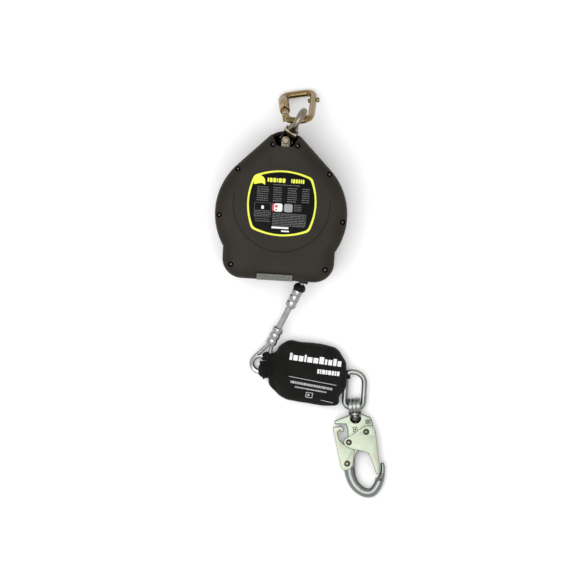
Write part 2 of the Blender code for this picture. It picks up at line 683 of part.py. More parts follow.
def absorber():
    half_band = 5.2
    along, across, third = line_axes()
    centre = EXIT + along * LOOP_AT
    loop = pivot("pack_swing_axis", centre, [across, third, across.cross(third)])
    outer = arc((24.5, 0), 7.4, -90, 90, 8) + arc((10.6, 0), 7.4, 90, 270, 8)
    inner = arc((24.5, 0), 4.4, -90, 90, 8) + arc((9.6, 0), 4.4, 90, 270, 8)
    flat("inlet_web_loop", [outer, inner], -half_band, half_band, WEBBING, loop)

    outline = [(16, -199), (30, -193), (60, -195), (90, -201), (95, -207), (96, -225), (96, -268)]
    outline += [(91, -281), (70, -283), (39, -278), (16, -274), (14, -262), (17.5, -240), (15, -215)]
    pack = as_mesh(flat("absorber_pack", [outline], *PACK_Z, CLOTH))
    soft = pack.modifiers.new("soft_edges", "BEVEL")
    soft.width = 9.0 * MM
    soft.segments = 2
    soft.limit_method = "ANGLE"
    soft.angle_limit = radians(60)

    bar_x, bar_y, bar_z = LINK_BAR
    holder = pivot("link_flip_axis", LINK_BAR, [(1, 0, 0), (0, 0, 1), (0, -1, 0)])
    outer = arc((0, 0), 7.8, -90, 90, 8) + [(96.4 - bar_x, 7.8), (96.4 - bar_x, -7.8)]
    flat("outlet_web_loop", [outer, circle((0, 0), 5.0, 20)], -5.5, 5.5, WEBBING, holder)


LINK_BAR = Vector((106.3, -250.0, 15.9))


def link_ring():
    """A rounded rectangle of round bar, lower at the hook's end."""
    half_x, half_y, corner = 13.5, 25.3, 8.5
    middle = Vector((106.3 + half_x, -257.6, 15.0))
    drop = radians(7.0)
    up = Vector((0, cos(drop), sin(drop)))
    outline = rounded_rectangle(half_x, half_y, corner, 4)
    points = [middle + Vector((x, 0, 0)) + up * y for x, y in outline]
    rod("link_ring", points, LINK_ROD, STEEL, pivot("link_axis", (0, 0, 0)), loop=True, res=3)


def hook_points(pairs):
    """Points given as (along the hook, to its right), in the hook's own frame."""
    return [(right, -along) for along, right in pairs]


GATE_PIVOT = (27.2, 13.2)
GATE_RIVET = (39.7, -13.0)
LEVER_PIVOT = (69.7, -18.1)


def around(centre, radius, start, end, steps):
    """An arc about a point given as (along, right), its angles from the hook's right side."""
    (x, y) = hook_points([centre])[0]
    return arc((x, y), radius, start, end, steps)


def hook_body(holder):
    rows = [(1.6, -9.6), (1.6, 9.6), (7, 21.3), (16, 24), (27, 23), (36, 19), (46, 9), (56, -3), (64, -7)]
    head = hook_points(rows)
    spine = hook_points([(76, -8.5), (76, -21), (56, -19), (47, -16.5), (43.6, -11.5)])
    edge = around(GATE_PIVOT, 26.4, 205, 168, 5)
    brow = hook_points([(13.5, -14.5), (12.0, -30.5), (7.4, -30.2)])
    made = as_mesh(flat("hook_body", [head + spine + edge + brow], -6.2, 6.2, PASSIVATED, holder))
    line = [(64, -13.5), (79, -14.6), (91, -13.4), (101, -9.2), (108.6, -2.6), (113.2, 5), (113.0, 13)]
    line += [(106.5, 20.2), (98.5, 25.2), (93.5, 27.6), (88.0, 30.2), (81.5, 31.4), (74.5, 31.4)]
    radii = [1.0] * 8 + [0.95, 0.78, 0.52, 0.48, 0.42]
    points = [(x, y, 0) for x, y in hook_points(line)]
    bow = as_mesh(rod("bow", points, BOW_ROD, STEEL, holder, radii=radii, res=3, cutter=True))
    join(made, bow)
    seat = box("swivel_seat", (-7.7, -12.6, -9), (7.7, 3, 9), STEEL, holder, cutter=True)
    stem = cylinder("stem_seat", 3.9, (0, -21, 0), (0, -10, 0), STEEL, holder, cutter=True)
    cut(made, seat, stem)
    for i, spot in enumerate((GATE_PIVOT, LEVER_PIVOT)):
        x, y = hook_points([spot])[0]
        cut(made, cylinder(f"body_rivet_hole_{i}", 2.9, (x, y, -9), (x, y, 9), STEEL, holder, cutter=True))


def channel(name, outline, holes, near, far, web, holder):
    """Two equal plates, one each side of the hook, joined by a web along their outer edge."""
    top = as_mesh(flat(name, [outline] + holes, near, far, PASSIVATED, holder))
    bottom = as_mesh(flat(f"{name}_back", [outline] + holes, -far, -near, PASSIVATED, holder, cutter=True))
    middle = (near + far) / 2
    strip = as_mesh(flat(f"{name}_web", [web], -middle, middle, PASSIVATED, holder, cutter=True))
    join(top, strip, bottom)


def hook_gate(holder):
    outline = hook_points([(18.2, 14), (19.4, 22.5), (24, 26.2), (34, 26.9), (74.4, 27.5), (88.4, 26.6)])
    outline += hook_points([(88.6, 21.6), (70, 17.6), (57.5, 13.6), (54.3, 7), (51.5, -5), (47.5, -14.5)])
    outline += around(GATE_RIVET, 7.0, -110, -230, 5)
    outline += hook_points([(28.5, -6), (23.5, 3)])
    holes = [circle(p, 2.9, 16) for p in hook_points([GATE_PIVOT])]
    holes += [circle(p, 2.3, 16) for p in hook_points([GATE_RIVET])]
    web = hook_points([(42, 24.6), (42, 26.6), (74.4, 27.1), (86, 26.4), (86, 24.4), (74, 25.1)])
    channel("hook_gate", outline, holes, 8.6, 10.2, web, holder)


def lock_lever(holder):
    outline = hook_points([(16.6, -33.5), (16.2, -21), (21, -17.8), (24.5, -19.5), (20.5, -24), (24, -28)])
    outline += hook_points([(34, -27), (41, -21.5), (45, -15.8), (46.5, -7), (53.3, -5.8), (72, -9.8)])
    outline += hook_points([(78.2, -14.5), (79.5, -20), (78, -25), (74.9, -27.4)])
    hole = circle(hook_points([LEVER_PIVOT])[0], 2.9, 16)
    web = hook_points([(17.2, -33.2), (17.2, -31.4), (74, -25.6), (74, -27.2)])
    channel("lock_lever", outline, [hole], 6.8, 8.3, web, holder)


def rivet(name, spot, shank, cap, holder):
    """A rivet whose heads start at the height cap, each side."""
    profile = [(0, cap + 1.6), (2.6, cap + 1.4), (4.1, cap + 0.3), (4.1, cap), (shank, cap)]
    profile += [(r, -z) for r, z in reversed(profile)]
    x, y = hook_points([spot])[0]
    turned(name, profile, DARK_STEEL, holder, sides=16, at=(x, y, 0))


def hook_swivel(holder):
    """The bail round the link's lower bar, and the collared stem that turns in the hook's head."""
    across = Matrix.Rotation(radians(90), 4, "Y")
    profile = [(10.9, 8.8), (11.6, 8.0), (11.6, -8.0), (10.9, -8.8), (6.6, -8.8), (6.6, 8.8)]
    made = turned("hook_swivel", profile, STEEL, holder, closed=True, sides=24, at=(0, 10.5, 0), turn=across)
    lower = [(0, 1.5), (5.6, 1.5), (7.2, 0.6), (7.2, -2.4), (5.6, -3.2), (5.6, -4.6), (7.2, -5.4)]
    lower += [(7.2, -10.6), (5.6, -12.0), (3.5, -12.0), (3.5, -19.5), (0, -19.5)]
    turn = Matrix.Rotation(radians(-90), 4, "X")
    stem = turned("swivel_stem", lower, STEEL, holder, sides=16, turn=turn, cutter=True)
    join(made, stem)


def hook_end():
    turn = radians(HOOK_TURN)
    axes = [(cos(turn), sin(turn), 0), (-sin(turn), cos(turn), 0), (0, 0, 1)]
    holder = pivot("hook_axis", HOOK, axes)
    hook_swivel(holder)
    hook_body(holder)
    hook_gate(holder)
    lock_lever(holder)
    rivet("gate_rivet", GATE_PIVOT, 2.6, 10.5, holder)
    rivet("catch_rivet", GATE_RIVET, 2.0, 10.5, holder)
    rivet("lever_rivet", LEVER_PIVOT, 2.6, 8.6, holder)


# ---------------------------------------------------------------- the whole object

covers()
labels()
frame_plates()
anchor_bracket()
shaft()
drum_axis = pivot("drum_axis", (0, 0, 0))
drum(drum_axis)
ratchet_ring(drum_axis)
brake()
for number, spot in ((1, 180.0), (2, 0.0)):
    turn = radians(spot)
    at = (27 * cos(turn), 27 * sin(turn), 0)
    inward = radians(spot + 80.0)
    columns = [(cos(inward - pi / 2), sin(inward - pi / 2), 0), (cos(inward), sin(inward), 0), (0, 0, 1)]
    pawl_axis = pivot(f"pawl_axis_{number}", at, columns)
    pawl(number, pawl_axis)
    pin = [(0, 35.2), (2.3, 35.2), (2.3, 22.4), (0, 22.4)]
    turned(f"pawl_pin_{number}", pin, STEEL, sides=16, at=at)
spring()
anchor_end()
lifeline_end()
absorber()
link_ring()
hook_end()
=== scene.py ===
"""The looks of a self-retracting lifeline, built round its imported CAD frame.

Lengths are in millimetres in each piece's own axes, which come from the frame's joints and boxes.
Every piece is named, rides on the body it belongs to, and has a node-based material.
"""

import json
from math import acos, asin, atan2, ceil, cos, degrees, pi, radians, sin

import bmesh
import bpy
from mathutils import Matrix, Vector, noise
from mathutils.bvhtree import BVHTree


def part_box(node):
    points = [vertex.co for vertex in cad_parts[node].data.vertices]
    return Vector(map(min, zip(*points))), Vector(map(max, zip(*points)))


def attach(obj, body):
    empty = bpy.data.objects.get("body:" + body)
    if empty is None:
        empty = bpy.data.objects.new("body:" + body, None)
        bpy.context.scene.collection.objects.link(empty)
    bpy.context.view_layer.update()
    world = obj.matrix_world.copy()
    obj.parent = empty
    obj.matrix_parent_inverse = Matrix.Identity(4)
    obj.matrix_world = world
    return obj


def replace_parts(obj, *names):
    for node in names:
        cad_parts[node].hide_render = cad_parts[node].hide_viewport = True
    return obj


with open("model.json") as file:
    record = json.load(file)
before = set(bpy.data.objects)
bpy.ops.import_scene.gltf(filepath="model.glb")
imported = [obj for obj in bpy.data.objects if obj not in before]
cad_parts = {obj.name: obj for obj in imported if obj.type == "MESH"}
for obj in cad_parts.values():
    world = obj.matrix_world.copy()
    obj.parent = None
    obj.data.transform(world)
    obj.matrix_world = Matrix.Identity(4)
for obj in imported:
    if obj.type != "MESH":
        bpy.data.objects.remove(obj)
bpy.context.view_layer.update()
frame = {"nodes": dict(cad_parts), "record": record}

MM = 0.001
WORLD = Matrix.Identity(4)
WELD = 2e-6  # metres within which two points become one
SHARP = 38.0  # degrees between two faces from which their edge stays sharp


# ---------------------------------------------------------------- places


def joint(name):
    """The point and the direction of one of the record's joints, in millimetres."""
    found = next(j for j in frame["record"]["behaviour"]["joints"] if j["name"] == name)
    at = found.get("pos_m", (0.0, 0.0, 0.0))
    return Vector(at) / MM, Vector(found["axis"]).normalized()


def place(at, x_axis, y_axis, z_axis):
    """The matrix that takes a piece's own axes to the frame's."""
    columns = Matrix((x_axis, y_axis, z_axis)).transposed().to_4x4()
    return Matrix.Translation(at) @ columns


def corners(*nodes):
    """The lowest and the highest corner of some nodes together, in millimetres."""
    boxes = [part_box(node) for node in nodes]
    low = Vector([min(b[0][i] for b in boxes) for i in range(3)]) / MM
    high = Vector([max(b[1][i] for b in boxes) for i in range(3)]) / MM
    return low, high


def yoke_place():
    at, backward = joint("yoke_tilt")
    across = -backward
    along = joint("eye_spin")[1]
    return place(at, across, along, across.cross(along))


def krab_place(hinge="carabiner_pitch"):
    """Across the carabiner, down along it, and out of its flat side."""
    across = joint("carabiner_pitch")[1]
    out = -joint("krab_gate_hinge")[1]
    return place(joint(hinge)[0], across, out.cross(across), out)


def line_place():
    """Along the line's end, level across it, and the axis of its loop."""
    start = joint("line_swing")[0]
    loop, third = joint("pack_swing")
    along = (loop - start).normalized()
    return place(start, along, third.cross(along), third), (loop - start).length


def hook_place():
    at, down = joint("hook_spin")
    across = joint("hook_tilt")[1]
    return place(at, across, -down, across.cross(-down))


# ---------------------------------------------------------------- meshes


def smooth(mesh, angle):
    """Smooth shading, with an edge wherever two faces meet at more than an angle."""
    mesh.validate()
    mesh.shade_smooth()
    mesh.set_sharp_from_angle(angle=radians(angle))


def placed(name, data):
    made = bpy.data.objects.new(name, data)
    bpy.context.scene.collection.objects.link(made)
    return made


def piece(name, shape, mat, body=None, where=WORLD, angle=SHARP):
    """An object made from points and faces in a piece's own axes, riding on a body if one is given."""
    points, faces = shape
    mesh = bpy.data.meshes.new(name)
    mesh.from_pydata([where @ Vector(p) * MM for p in points], [], faces)
    bm = bmesh.new()
    bm.from_mesh(mesh)
    bmesh.ops.remove_doubles(bm, verts=bm.verts, dist=WELD)
    bmesh.ops.recalc_face_normals(bm, faces=bm.faces)
    bm.to_mesh(mesh)
    bm.free()
    smooth(mesh, angle)
    made = placed(name, mesh)
    if mat:
        mesh.materials.append(mat)
    if body:
        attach(made, body)
    return made


def instead(made, node):
    """Shows a piece in place of a CAD node."""
    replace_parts(made, node)
    return made


def joined(*shapes):
    """Several shapes as one."""
    points, faces = [], []
    for more_points, more_faces in shapes:
        start = len(points)
        points += list(more_points)
        faces += [[start + i for i in face] for face in more_faces]
    return points, faces


def moved(shape, matrix):
    return [matrix @ Vector(p) for p in shape[0]], shape[1]


def loft(rows, closed_rows=True, loop=False, caps=True):
    """Faces between rows of points, each row with the same number of them."""
    count = len(rows[0])
    points = [p for row in rows for p in row]
    faces = []
    total = len(rows)
    for r in range(total if loop else total - 1):
        low, high = r * count, ((r + 1) % total) * count
        for i in range(count if closed_rows else count - 1):
            j = (i + 1) % count
            faces.append([low + i, low + j, high + j, high + i])
    if caps and not loop:
        faces.append(list(range(count))[::-1])
        faces.append(list(range((total - 1) * count, total * count)))
    return points, faces


def turns(count):
    """Angles that share out one whole turn."""
    return [2 * pi * i / count for i in range(count)]


def revolve(profile, sides=64, axis="Z"):
    """A profile of (radius, height) turned about an axis; a radius of 0 closes it there."""
    rows = [[(r * cos(turn), r * sin(turn), h) for r, h in profile] for turn in turns(sides)]
    closed = profile[0][0] > 0 or profile[-1][0] > 0
    shape = loft(rows, closed_rows=closed, loop=True)
    if axis == "X":
        return [(h, x, y) for x, y, h in shape[0]], shape[1]
    if axis == "Y":
        return [(y, h, x) for x, y, h in shape[0]], shape[1]
    return shape


def rounded(profile, edge, closed=True, steps=3):
    """The same profile with each corner rounded by an edge radius."""
    found = []
    count = len(profile)
    for i, corner in enumerate(profile):
        if not closed and i in (0, count - 1):
            found.append(tuple(corner))
            continue
        here = Vector(corner)
        before, after = Vector(profile[i - 1]), Vector(profile[(i + 1) % count])
        to_before, to_after = before - here, after - here
        if min(to_before.length, to_after.length) < 1e-6:
            continue
        reach = min(edge, to_before.length * 0.45, to_after.length * 0.45)
        start = here + to_before.normalized() * reach
        end = here + to_after.normalized() * reach
        for s in range(steps + 1):
            t = s / steps
            found.append(tuple(start * (1 - t) ** 2 + here * 2 * t * (1 - t) + end * t**2))
    return found


def smooth_path(points, per_span=6):
    """A Catmull-Rom curve through points."""
    points = [Vector(p).to_3d() for p in points]
    points = [points[0] * 2 - points[1], *points, points[-1] * 2 - points[-2]]
    found = []
    for a, b, c, d in zip(points, points[1:], points[2:], points[3:]):
        for s in range(per_span):
            t = s / per_span
            here = 2 * b + (c - a) * t + (2 * a - 5 * b + 4 * c - d) * t**2
            found.append(0.5 * (here + (3 * b - a - 3 * c + d) * t**3))
    return found + [points[-2]]


def frames_along(path, closed=False, up=None):
    """A tangent and two crossing directions at each point, without any sudden twist."""
    count = len(path)
    found = []
    side = None
    for i, point in enumerate(path):
        after = path[(i + 1) % count] if closed or i + 1 < count else point
        before = path[i - 1] if closed or i else point
        tangent = (after - before).normalized()
        if up is not None:
            side = tangent.cross(Vector(up)).normalized()
        elif side is None:
            guess = Vector((0, 0, 1)) if abs(tangent.z) < 0.9 else Vector((1, 0, 0))
            side = tangent.cross(guess).normalized()
        else:
            side = (side - tangent * side.dot(tangent)).normalized()
        found.append((tangent, side, tangent.cross(side)))
    return found


def sweep(path, radius, sides=20, closed=False, up=None, scale=None, section=None, ends=2):
    """A bar along a path. section gives its outline, as (across, up) factors of its radius."""
    section = section or [(cos(turn), sin(turn)) for turn in turns(sides)]
    rows = []
    frames = frames_along(path, closed, up)
    for i, (point, (_, side, over)) in enumerate(zip(path, frames)):
        size = radius * (scale(i / (len(path) - 1)) if scale else 1.0)
        rows.append([point + side * (a * size) + over * (b * size) for a, b in section])
    if not closed and ends:
        for at, way in ((0, -1), (-1, 1)):
            tangent = frames[at][0] * way
            size = radius * (scale(0.0 if at == 0 else 1.0) if scale else 1.0)
            middle, extra = path[at], []
            for k in range(1, ends + 1):
                turn = pi / 2 * k / (ends + 0.35)
                shift = tangent * (0.5 * size * sin(turn))
                extra.append([middle + (p - middle) * cos(turn) + shift for p in rows[at]])
            rows = rows + extra if at else extra[::-1] + rows
    return loft(rows, loop=closed)


def arc(centre, radius, start, end, steps):
    """Points on an arc from one angle to another, in degrees."""
    turns = [radians(start + (end - start) * i / steps) for i in range(steps + 1)]
    return [(centre[0] + radius * cos(t), centre[1] + radius * sin(t)) for t in turns]


def circle(centre, radius):
    return arc(centre, radius, 0.0, 360.0, 32)[:-1]


def rectangle(half_x, half_y, radius, steps=6, at=(0.0, 0.0)):
    points = []
    for start, sx, sy in ((0, 1, 1), (90, -1, 1), (180, -1, -1), (270, 1, -1)):
        centre = (at[0] + sx * (half_x - radius), at[1] + sy * (half_y - radius))
        points += arc(centre, radius, start, start + 90, steps)
    return points


def evaluated(made):
    """A new mesh of an object as its modifiers leave it."""
    bpy.context.view_layer.update()
    return bpy.data.meshes.new_from_object(made.evaluated_get(bpy.context.evaluated_depsgraph_get()))


def plate(outlines, low, high, edge=0.4):
    """A flat plate with its holes, its rims rounded by an edge radius, as points and faces."""
    curve = bpy.data.curves.new("outline", "CURVE")
    curve.dimensions = "2D"
    curve.fill_mode = "BOTH"
    curve.extrude = (high - low) / 2 - edge
    curve.bevel_depth = edge
    curve.bevel_resolution = 2
    curve.offset = -edge
    for outline in outlines:
        spline = curve.splines.new("POLY")
        spline.points.add(len(outline) - 1)
        for i, (x, y) in enumerate(outline):
            spline.points[i].co = (x, y, 0.0, 1.0)
        spline.use_cyclic_u = True
    made = placed("outline", curve)
    mesh = evaluated(made)
    lift = Vector((0, 0, (low + high) / 2))
    shape = [v.co + lift for v in mesh.vertices], [list(p.vertices) for p in mesh.polygons]
    bpy.data.objects.remove(made)
    bpy.data.curves.remove(curve)
    bpy.data.meshes.remove(mesh)
    return shape


def both(outlines, near, far, edge):
    """The same plate on each side of the middle, from near to far."""
    return [plate(outlines, -far, -near, edge), plate(outlines, near, far, edge)]


def apply_modifiers(target, angle=SHARP):
    old = target.data
    mesh = evaluated(target)
    target.modifiers.clear()
    target.data = mesh
    mesh.name = target.name
    bpy.data.meshes.remove(old)
    if angle:
        smooth(mesh, angle)


def carve(target, shapes, operation="DIFFERENCE", where=WORLD, angle=SHARP):
    """Cuts shapes out of an object, or joins them to it, and keeps the result as its mesh."""
    helpers = [piece(f"helper_{i}", shape, None, where=where) for i, shape in enumerate(shapes)]
    for helper in helpers:
        step = target.modifiers.new("carve", "BOOLEAN")
        step.operation = operation
        step.object = helper
        step.solver = "EXACT"
    apply_modifiers(target, angle)
    for helper in helpers:
        bpy.data.objects.remove(helper)


# ---------------------------------------------------------------- materials


class Surface:
    """A Principled material and the few nodes it is built from, in the object's own coordinates."""

    def __init__(self, name, roughness=0.5, metallic=0.0, specular=0.5):
        self.mat = bpy.data.materials.new(name)
        self.mat.use_nodes = True
        self.tree = self.mat.node_tree
        self.shader = self.tree.nodes["Principled BSDF"]
        self.shader.inputs["Roughness"].default_value = roughness
        self.shader.inputs["Metallic"].default_value = metallic
        self.shader.inputs["Specular IOR Level"].default_value = specular
        self.coords = self.tree.nodes.new("ShaderNodeTexCoord").outputs["Object"]
        self.bumps = None

    def node(self, kind, **settings):
        made = self.tree.nodes.new(kind)
        for key, value in settings.items():
            setattr(made, key, value)
        return made

    def link(self, start, end):
        self.tree.links.new(start, end)

    def spread(self, size, stretch=(1.0, 1.0, 1.0)):
        """The object's own coordinates, counted in features of size millimetres."""
        made = self.node("ShaderNodeMapping")
        made.inputs["Scale"].default_value = [s / (size * MM) for s in stretch]
        self.link(self.coords, made.inputs["Vector"])
        return made.outputs["Vector"]

    def noise(self, size, detail=3.0, stretch=(1.0, 1.0, 1.0), rough=0.5):
        """Noise whose features are about size millimetres across."""
        coords = self.spread(size, stretch)
        made = self.node("ShaderNodeTexNoise")
        made.inputs["Scale"].default_value = 1.0
        made.inputs["Detail"].default_value = detail
        made.inputs["Roughness"].default_value = rough
        self.link(coords, made.inputs["Vector"])
        return made.outputs["Fac"]

    def stripes(self, size, direction="X"):
        coords = self.spread(size)
        made = self.node("ShaderNodeTexWave", bands_direction=direction, wave_profile="SIN")
        made.inputs["Scale"].default_value = 0.314
        self.link(coords, made.inputs["Vector"])
        return made.outputs["Fac"]

    def math(self, operation, a, b):
        made = self.node("ShaderNodeMath", operation=operation)
        for socket, value in zip(made.inputs, (a, b)):
            if isinstance(value, (int, float)):
                socket.default_value = value
            else:
                self.link(value, socket)
        return made.outputs[0]

    def colour(self, factor, *stops):
        """The base colour, run through (position, colour) stops by a factor."""
        made = self.node("ShaderNodeValToRGB")
        band = made.color_ramp
        while len(band.elements) < len(stops):
            band.elements.new(0.5)
        for element, (at, colour) in zip(band.elements, stops):
            element.position = at
            element.color = (*colour, 1.0)
        self.link(factor, made.inputs["Fac"])
        self.link(made.outputs["Color"], self.shader.inputs["Base Color"])

    def roughen(self, factor, low, high):
        made = self.node("ShaderNodeMapRange")
        made.inputs["To Min"].default_value = low
        made.inputs["To Max"].default_value = high
        self.link(factor, made.inputs["Value"])
        self.link(made.outputs["Result"], self.shader.inputs["Roughness"])

    def bump(self, height, depth, strength=1.0):
        """Raises the surface by up to depth millimetres."""
        made = self.node("ShaderNodeBump")
        made.inputs["Distance"].default_value = depth * MM
        made.inputs["Strength"].default_value = strength
        self.link(height, made.inputs["Height"])
        if self.bumps:
            self.link(self.bumps, made.inputs["Normal"])
        self.bumps = made.outputs["Normal"]
        self.link(self.bumps, self.shader.inputs["Normal"])


def grey(value):
    return (value, value, value)


def moulded_nylon():
    """Brown-black moulded nylon with a spark-eroded grain and handling marks."""
    it = Surface("moulded_nylon", 0.55, specular=0.12)
    it.colour(it.noise(38, 4.0), (0.25, (0.0160, 0.0125, 0.0095)), (0.8, (0.0240, 0.0200, 0.0155)))
    it.roughen(it.noise(9, 3.0), 0.42, 0.6)
    it.bump(it.noise(0.55, 2.0), 0.05, 0.5)
    it.bump(it.noise(3.5, 4.0), 0.02, 0.4)
    return it.mat


def plated(name, size, roughness, *stops):
    """Zinc plate: colour drifts over the surface, with fine drawing marks and a mottled gloss."""
    it = Surface(name, roughness, metallic=1.0)
    it.colour(it.noise(size, 3.0, rough=0.6), *stops)
    it.roughen(it.noise(2.2, 4.0), roughness - 0.07, roughness + 0.12)
    it.bump(it.noise(1.1, 3.0), 0.02, 0.5)
    it.bump(it.noise(0.3, 1.0, stretch=(1.0, 0.08, 1.0)), 0.006, 0.6)
    return it.mat


def black_rubber():
    it = Surface("moulded_rubber", 0.6, specular=0.15)
    it.colour(it.noise(12, 3.0), (0.3, grey(0.005)), (0.75, grey(0.010)))
    it.roughen(it.noise(2.5, 3.0), 0.48, 0.7)
    it.bump(it.noise(0.5, 2.0), 0.03, 0.6)
    return it.mat


def wire_strand():
    it = Surface("galvanised_wire", 0.32, metallic=1.0)
    it.colour(it.noise(3.0, 3.0), (0.3, grey(0.22)), (0.7, (0.38, 0.38, 0.37)))
    it.roughen(it.noise(0.9, 2.0), 0.25, 0.42)
    it.bump(it.stripes(0.75, "DIAGONAL"), 0.08, 0.7)
    return it.mat


def shrink_sleeve():
    it = Surface("shrink_sleeve", 0.36, specular=0.5)
    it.colour(it.noise(7.0, 3.0), (0.3, (0.22, 0.21, 0.21)), (0.7, (0.31, 0.30, 0.295)))
    it.roughen(it.noise(2.0, 3.0), 0.3, 0.5)
    it.bump(it.stripes(2.6, "DIAGONAL"), 0.10, 0.5)
    return it.mat


def weave(name, dark, light, thread, depth):
    """Plain weave: threads run both ways over the piece, with worn and dusty patches."""
    it = Surface(name, 0.82, specular=0.08)
    it.shader.inputs["Sheen Weight"].default_value = 0.05
    it.shader.inputs["Sheen Roughness"].default_value = 0.45
    over, under, inward = [it.stripes(thread, way) for way in "XYZ"]
    threads = it.math("MAXIMUM", it.math("MULTIPLY", over, inward), it.math("MULTIPLY", under, over))
    threads = it.math("MAXIMUM", threads, it.math("MULTIPLY", under, inward))
    dusty = it.noise(15, 5.0, rough=0.6)
    it.colour(it.math("ADD", it.math("MULTIPLY", threads, 0.35), it.math("MULTIPLY", dusty, 0.65)),
              (0.3, dark), (0.75, light))
    it.bump(threads, depth, 0.7)
    it.bump(it.noise(6.0, 4.0), 0.35, 0.35)
    return it.mat


def print_ink(name, dark, light, roughness=0.4, specular=0.08):
    """Printed film or ink, slightly uneven."""
    it = Surface(name, roughness, specular=specular)
    it.colour(it.noise(5.0, 4.0, rough=0.65), (0.3, dark), (0.7, light))
    it.roughen(it.noise(3.0, 2.0), roughness - 0.06, roughness + 0.1)
    it.bump(it.noise(0.8, 2.0), 0.008, 0.4)
    return it.mat


def chequered(name):
    """A grey printed square broken into small light and dark cells."""
    it = Surface(name, 0.45, specular=0.3)
    cells = it.node("ShaderNodeTexChecker")
    cells.inputs["Scale"].default_value = 1.0 / (1.5 * MM)
    cells.inputs["Color1"].default_value = (0.42, 0.42, 0.41, 1)
    cells.inputs["Color2"].default_value = (0.10, 0.10, 0.10, 1)
    it.link(it.coords, cells.inputs["Vector"])
    it.link(cells.outputs["Color"], it.shader.inputs["Base Color"])
    it.bump(it.noise(0.8, 2.0), 0.008, 0.4)
    return it.mat


NYLON = moulded_nylon()
GOLD = plated(
    "gold_zinc", 13.0, 0.22, (0.30, (0.085, 0.075, 0.022)), (0.45, (0.20, 0.15, 0.05)),
    (0.60, (0.26, 0.165, 0.085)), (0.72, (0.095, 0.09, 0.032)),
)
ZINC = plated(
    "grey_zinc", 14.0, 0.34,
    (0.3, (0.125, 0.12, 0.075)), (0.5, (0.20, 0.175, 0.12)), (0.68, (0.27, 0.21, 0.185)),
)
PALE = plated(
    "pale_zinc", 26.0, 0.40,
    (0.28, (0.26, 0.305, 0.25)), (0.5, (0.295, 0.33, 0.255)), (0.7, (0.31, 0.32, 0.25)),
)
STEEL = plated("bright_steel_face", 18.0, 0.22, (0.3, (0.30, 0.31, 0.31)), (0.7, (0.40, 0.41, 0.41)))
DARK = plated("blackened_steel", 10.0, 0.33, (0.3, (0.045, 0.045, 0.04)), (0.7, (0.09, 0.085, 0.075)))
SCREW = plated("screw_zinc", 6.0, 0.42, (0.3, grey(0.10)), (0.7, grey(0.17)))
FORGED = plated("forged_steel", 16.0, 0.28, (0.3, (0.185, 0.20, 0.19)), (0.7, (0.265, 0.275, 0.26)))
# painted shade: a darker plating for the plates' side faces, standing in for the dark outlines the light
# leaves along their edges
EDGE_SHADE = plated("painted_edge_shade", 8.0, 0.4, (0.3, (0.055, 0.055, 0.04)), (0.7, (0.12, 0.115, 0.09)))
RUBBER = black_rubber()
WIRE = wire_strand()
SLEEVE = shrink_sleeve()
CLOTH = weave("cover_cloth", grey(0.0050), (0.0125, 0.0125, 0.0105), thread=0.62, depth=0.12)
WEB = weave("flat_webbing", grey(0.004), grey(0.010), thread=1.1, depth=0.25)
YELLOW = print_ink("yellow_ink", (0.60, 0.64, 0.06), (0.76, 0.78, 0.10))
BLACK = print_ink("black_ink", grey(0.0035), grey(0.007), 0.34, 0.03)
FAINT = print_ink("faint_ink", grey(0.075), grey(0.13))
WHITE = print_ink("white_ink", grey(0.62), grey(0.78), 0.5)
PALE_INK = print_ink("pale_ink", grey(0.30), grey(0.46), 0.5)
RED = print_ink("red_ink", (0.42, 0.03, 0.06), (0.62, 0.10, 0.13))
STRIP = print_ink("grey_film", (0.115, 0.12, 0.105), (0.17, 0.175, 0.155))
CHEQUER = chequered("chequered_ink")


def finish_nodes():
    """Every CAD node that stays in view gets its material here."""
    looks = {
        "housing_nylon": NYLON, "black_rubber": RUBBER, "zinc_plate": ZINC, "yellow_zinc_plate": PALE,
        "gold_zinc_plate": GOLD, "bright_steel": STEEL, "spring_steel": DARK, "cast_aluminium": DARK,
        "bushing_bronze": GOLD, "brake_lining": RUBBER, "wire_rope": WIRE, "clear_grey_sleeve": SLEEVE,
        "black_cloth": CLOTH, "black_webbing": WEB, "printed_label": BLACK, "grey_label": STRIP,
    }
    for entry in frame["record"]["subparts"]:
        node = frame["nodes"][entry["node"]]
        for held in node.material_slots:
            held.material = looks[entry["material_slot"]]
    for name in ("anchor_bolt", "anchor_nut"):
        frame["nodes"][name].material_slots[0].material = ZINC


finish_nodes()


# ---------------------------------------------------------------- housing

BODY_R, BODY_Y = 93.7, -15.0
APEX_R, APEX_Y = 34.0, 69.4
FOOT_X, FOOT_Y, FOOT_R = 79.3, -108.7, 28.0
WALL = 4.0
RIM_IN, RIM_DOWN = 21.0, 14.0  # how far the rolled rim reaches across the face, and down the side
SCREWS = [(17.5, 82.4), (65.0, 45.2), (87.6, -21.4), (66.9, -90.3)]
GROOVE_R, GROOVE_ROD = 68.7, 0.95
WELL_R, PORT_R = 3.9, 7.8
SEAM = 0.02  # half the gap between the two covers
COVER_SHARP = 40.0


def housing_outline(inset):
    foot_x, body_r = FOOT_X - inset, BODY_R - inset
    waist = -acos(foot_x / body_r) * 180 / pi
    half = arc((0, APEX_Y), APEX_R - inset, 90, 45, 10)
    half += arc((0, BODY_Y), body_r, 45, waist, 34)
    half += arc((FOOT_X - FOOT_R, FOOT_Y + FOOT_R), FOOT_R - inset, 0, -90, 12)
    return half + [(-x, y) for x, y in reversed(half) if x > 0.01]


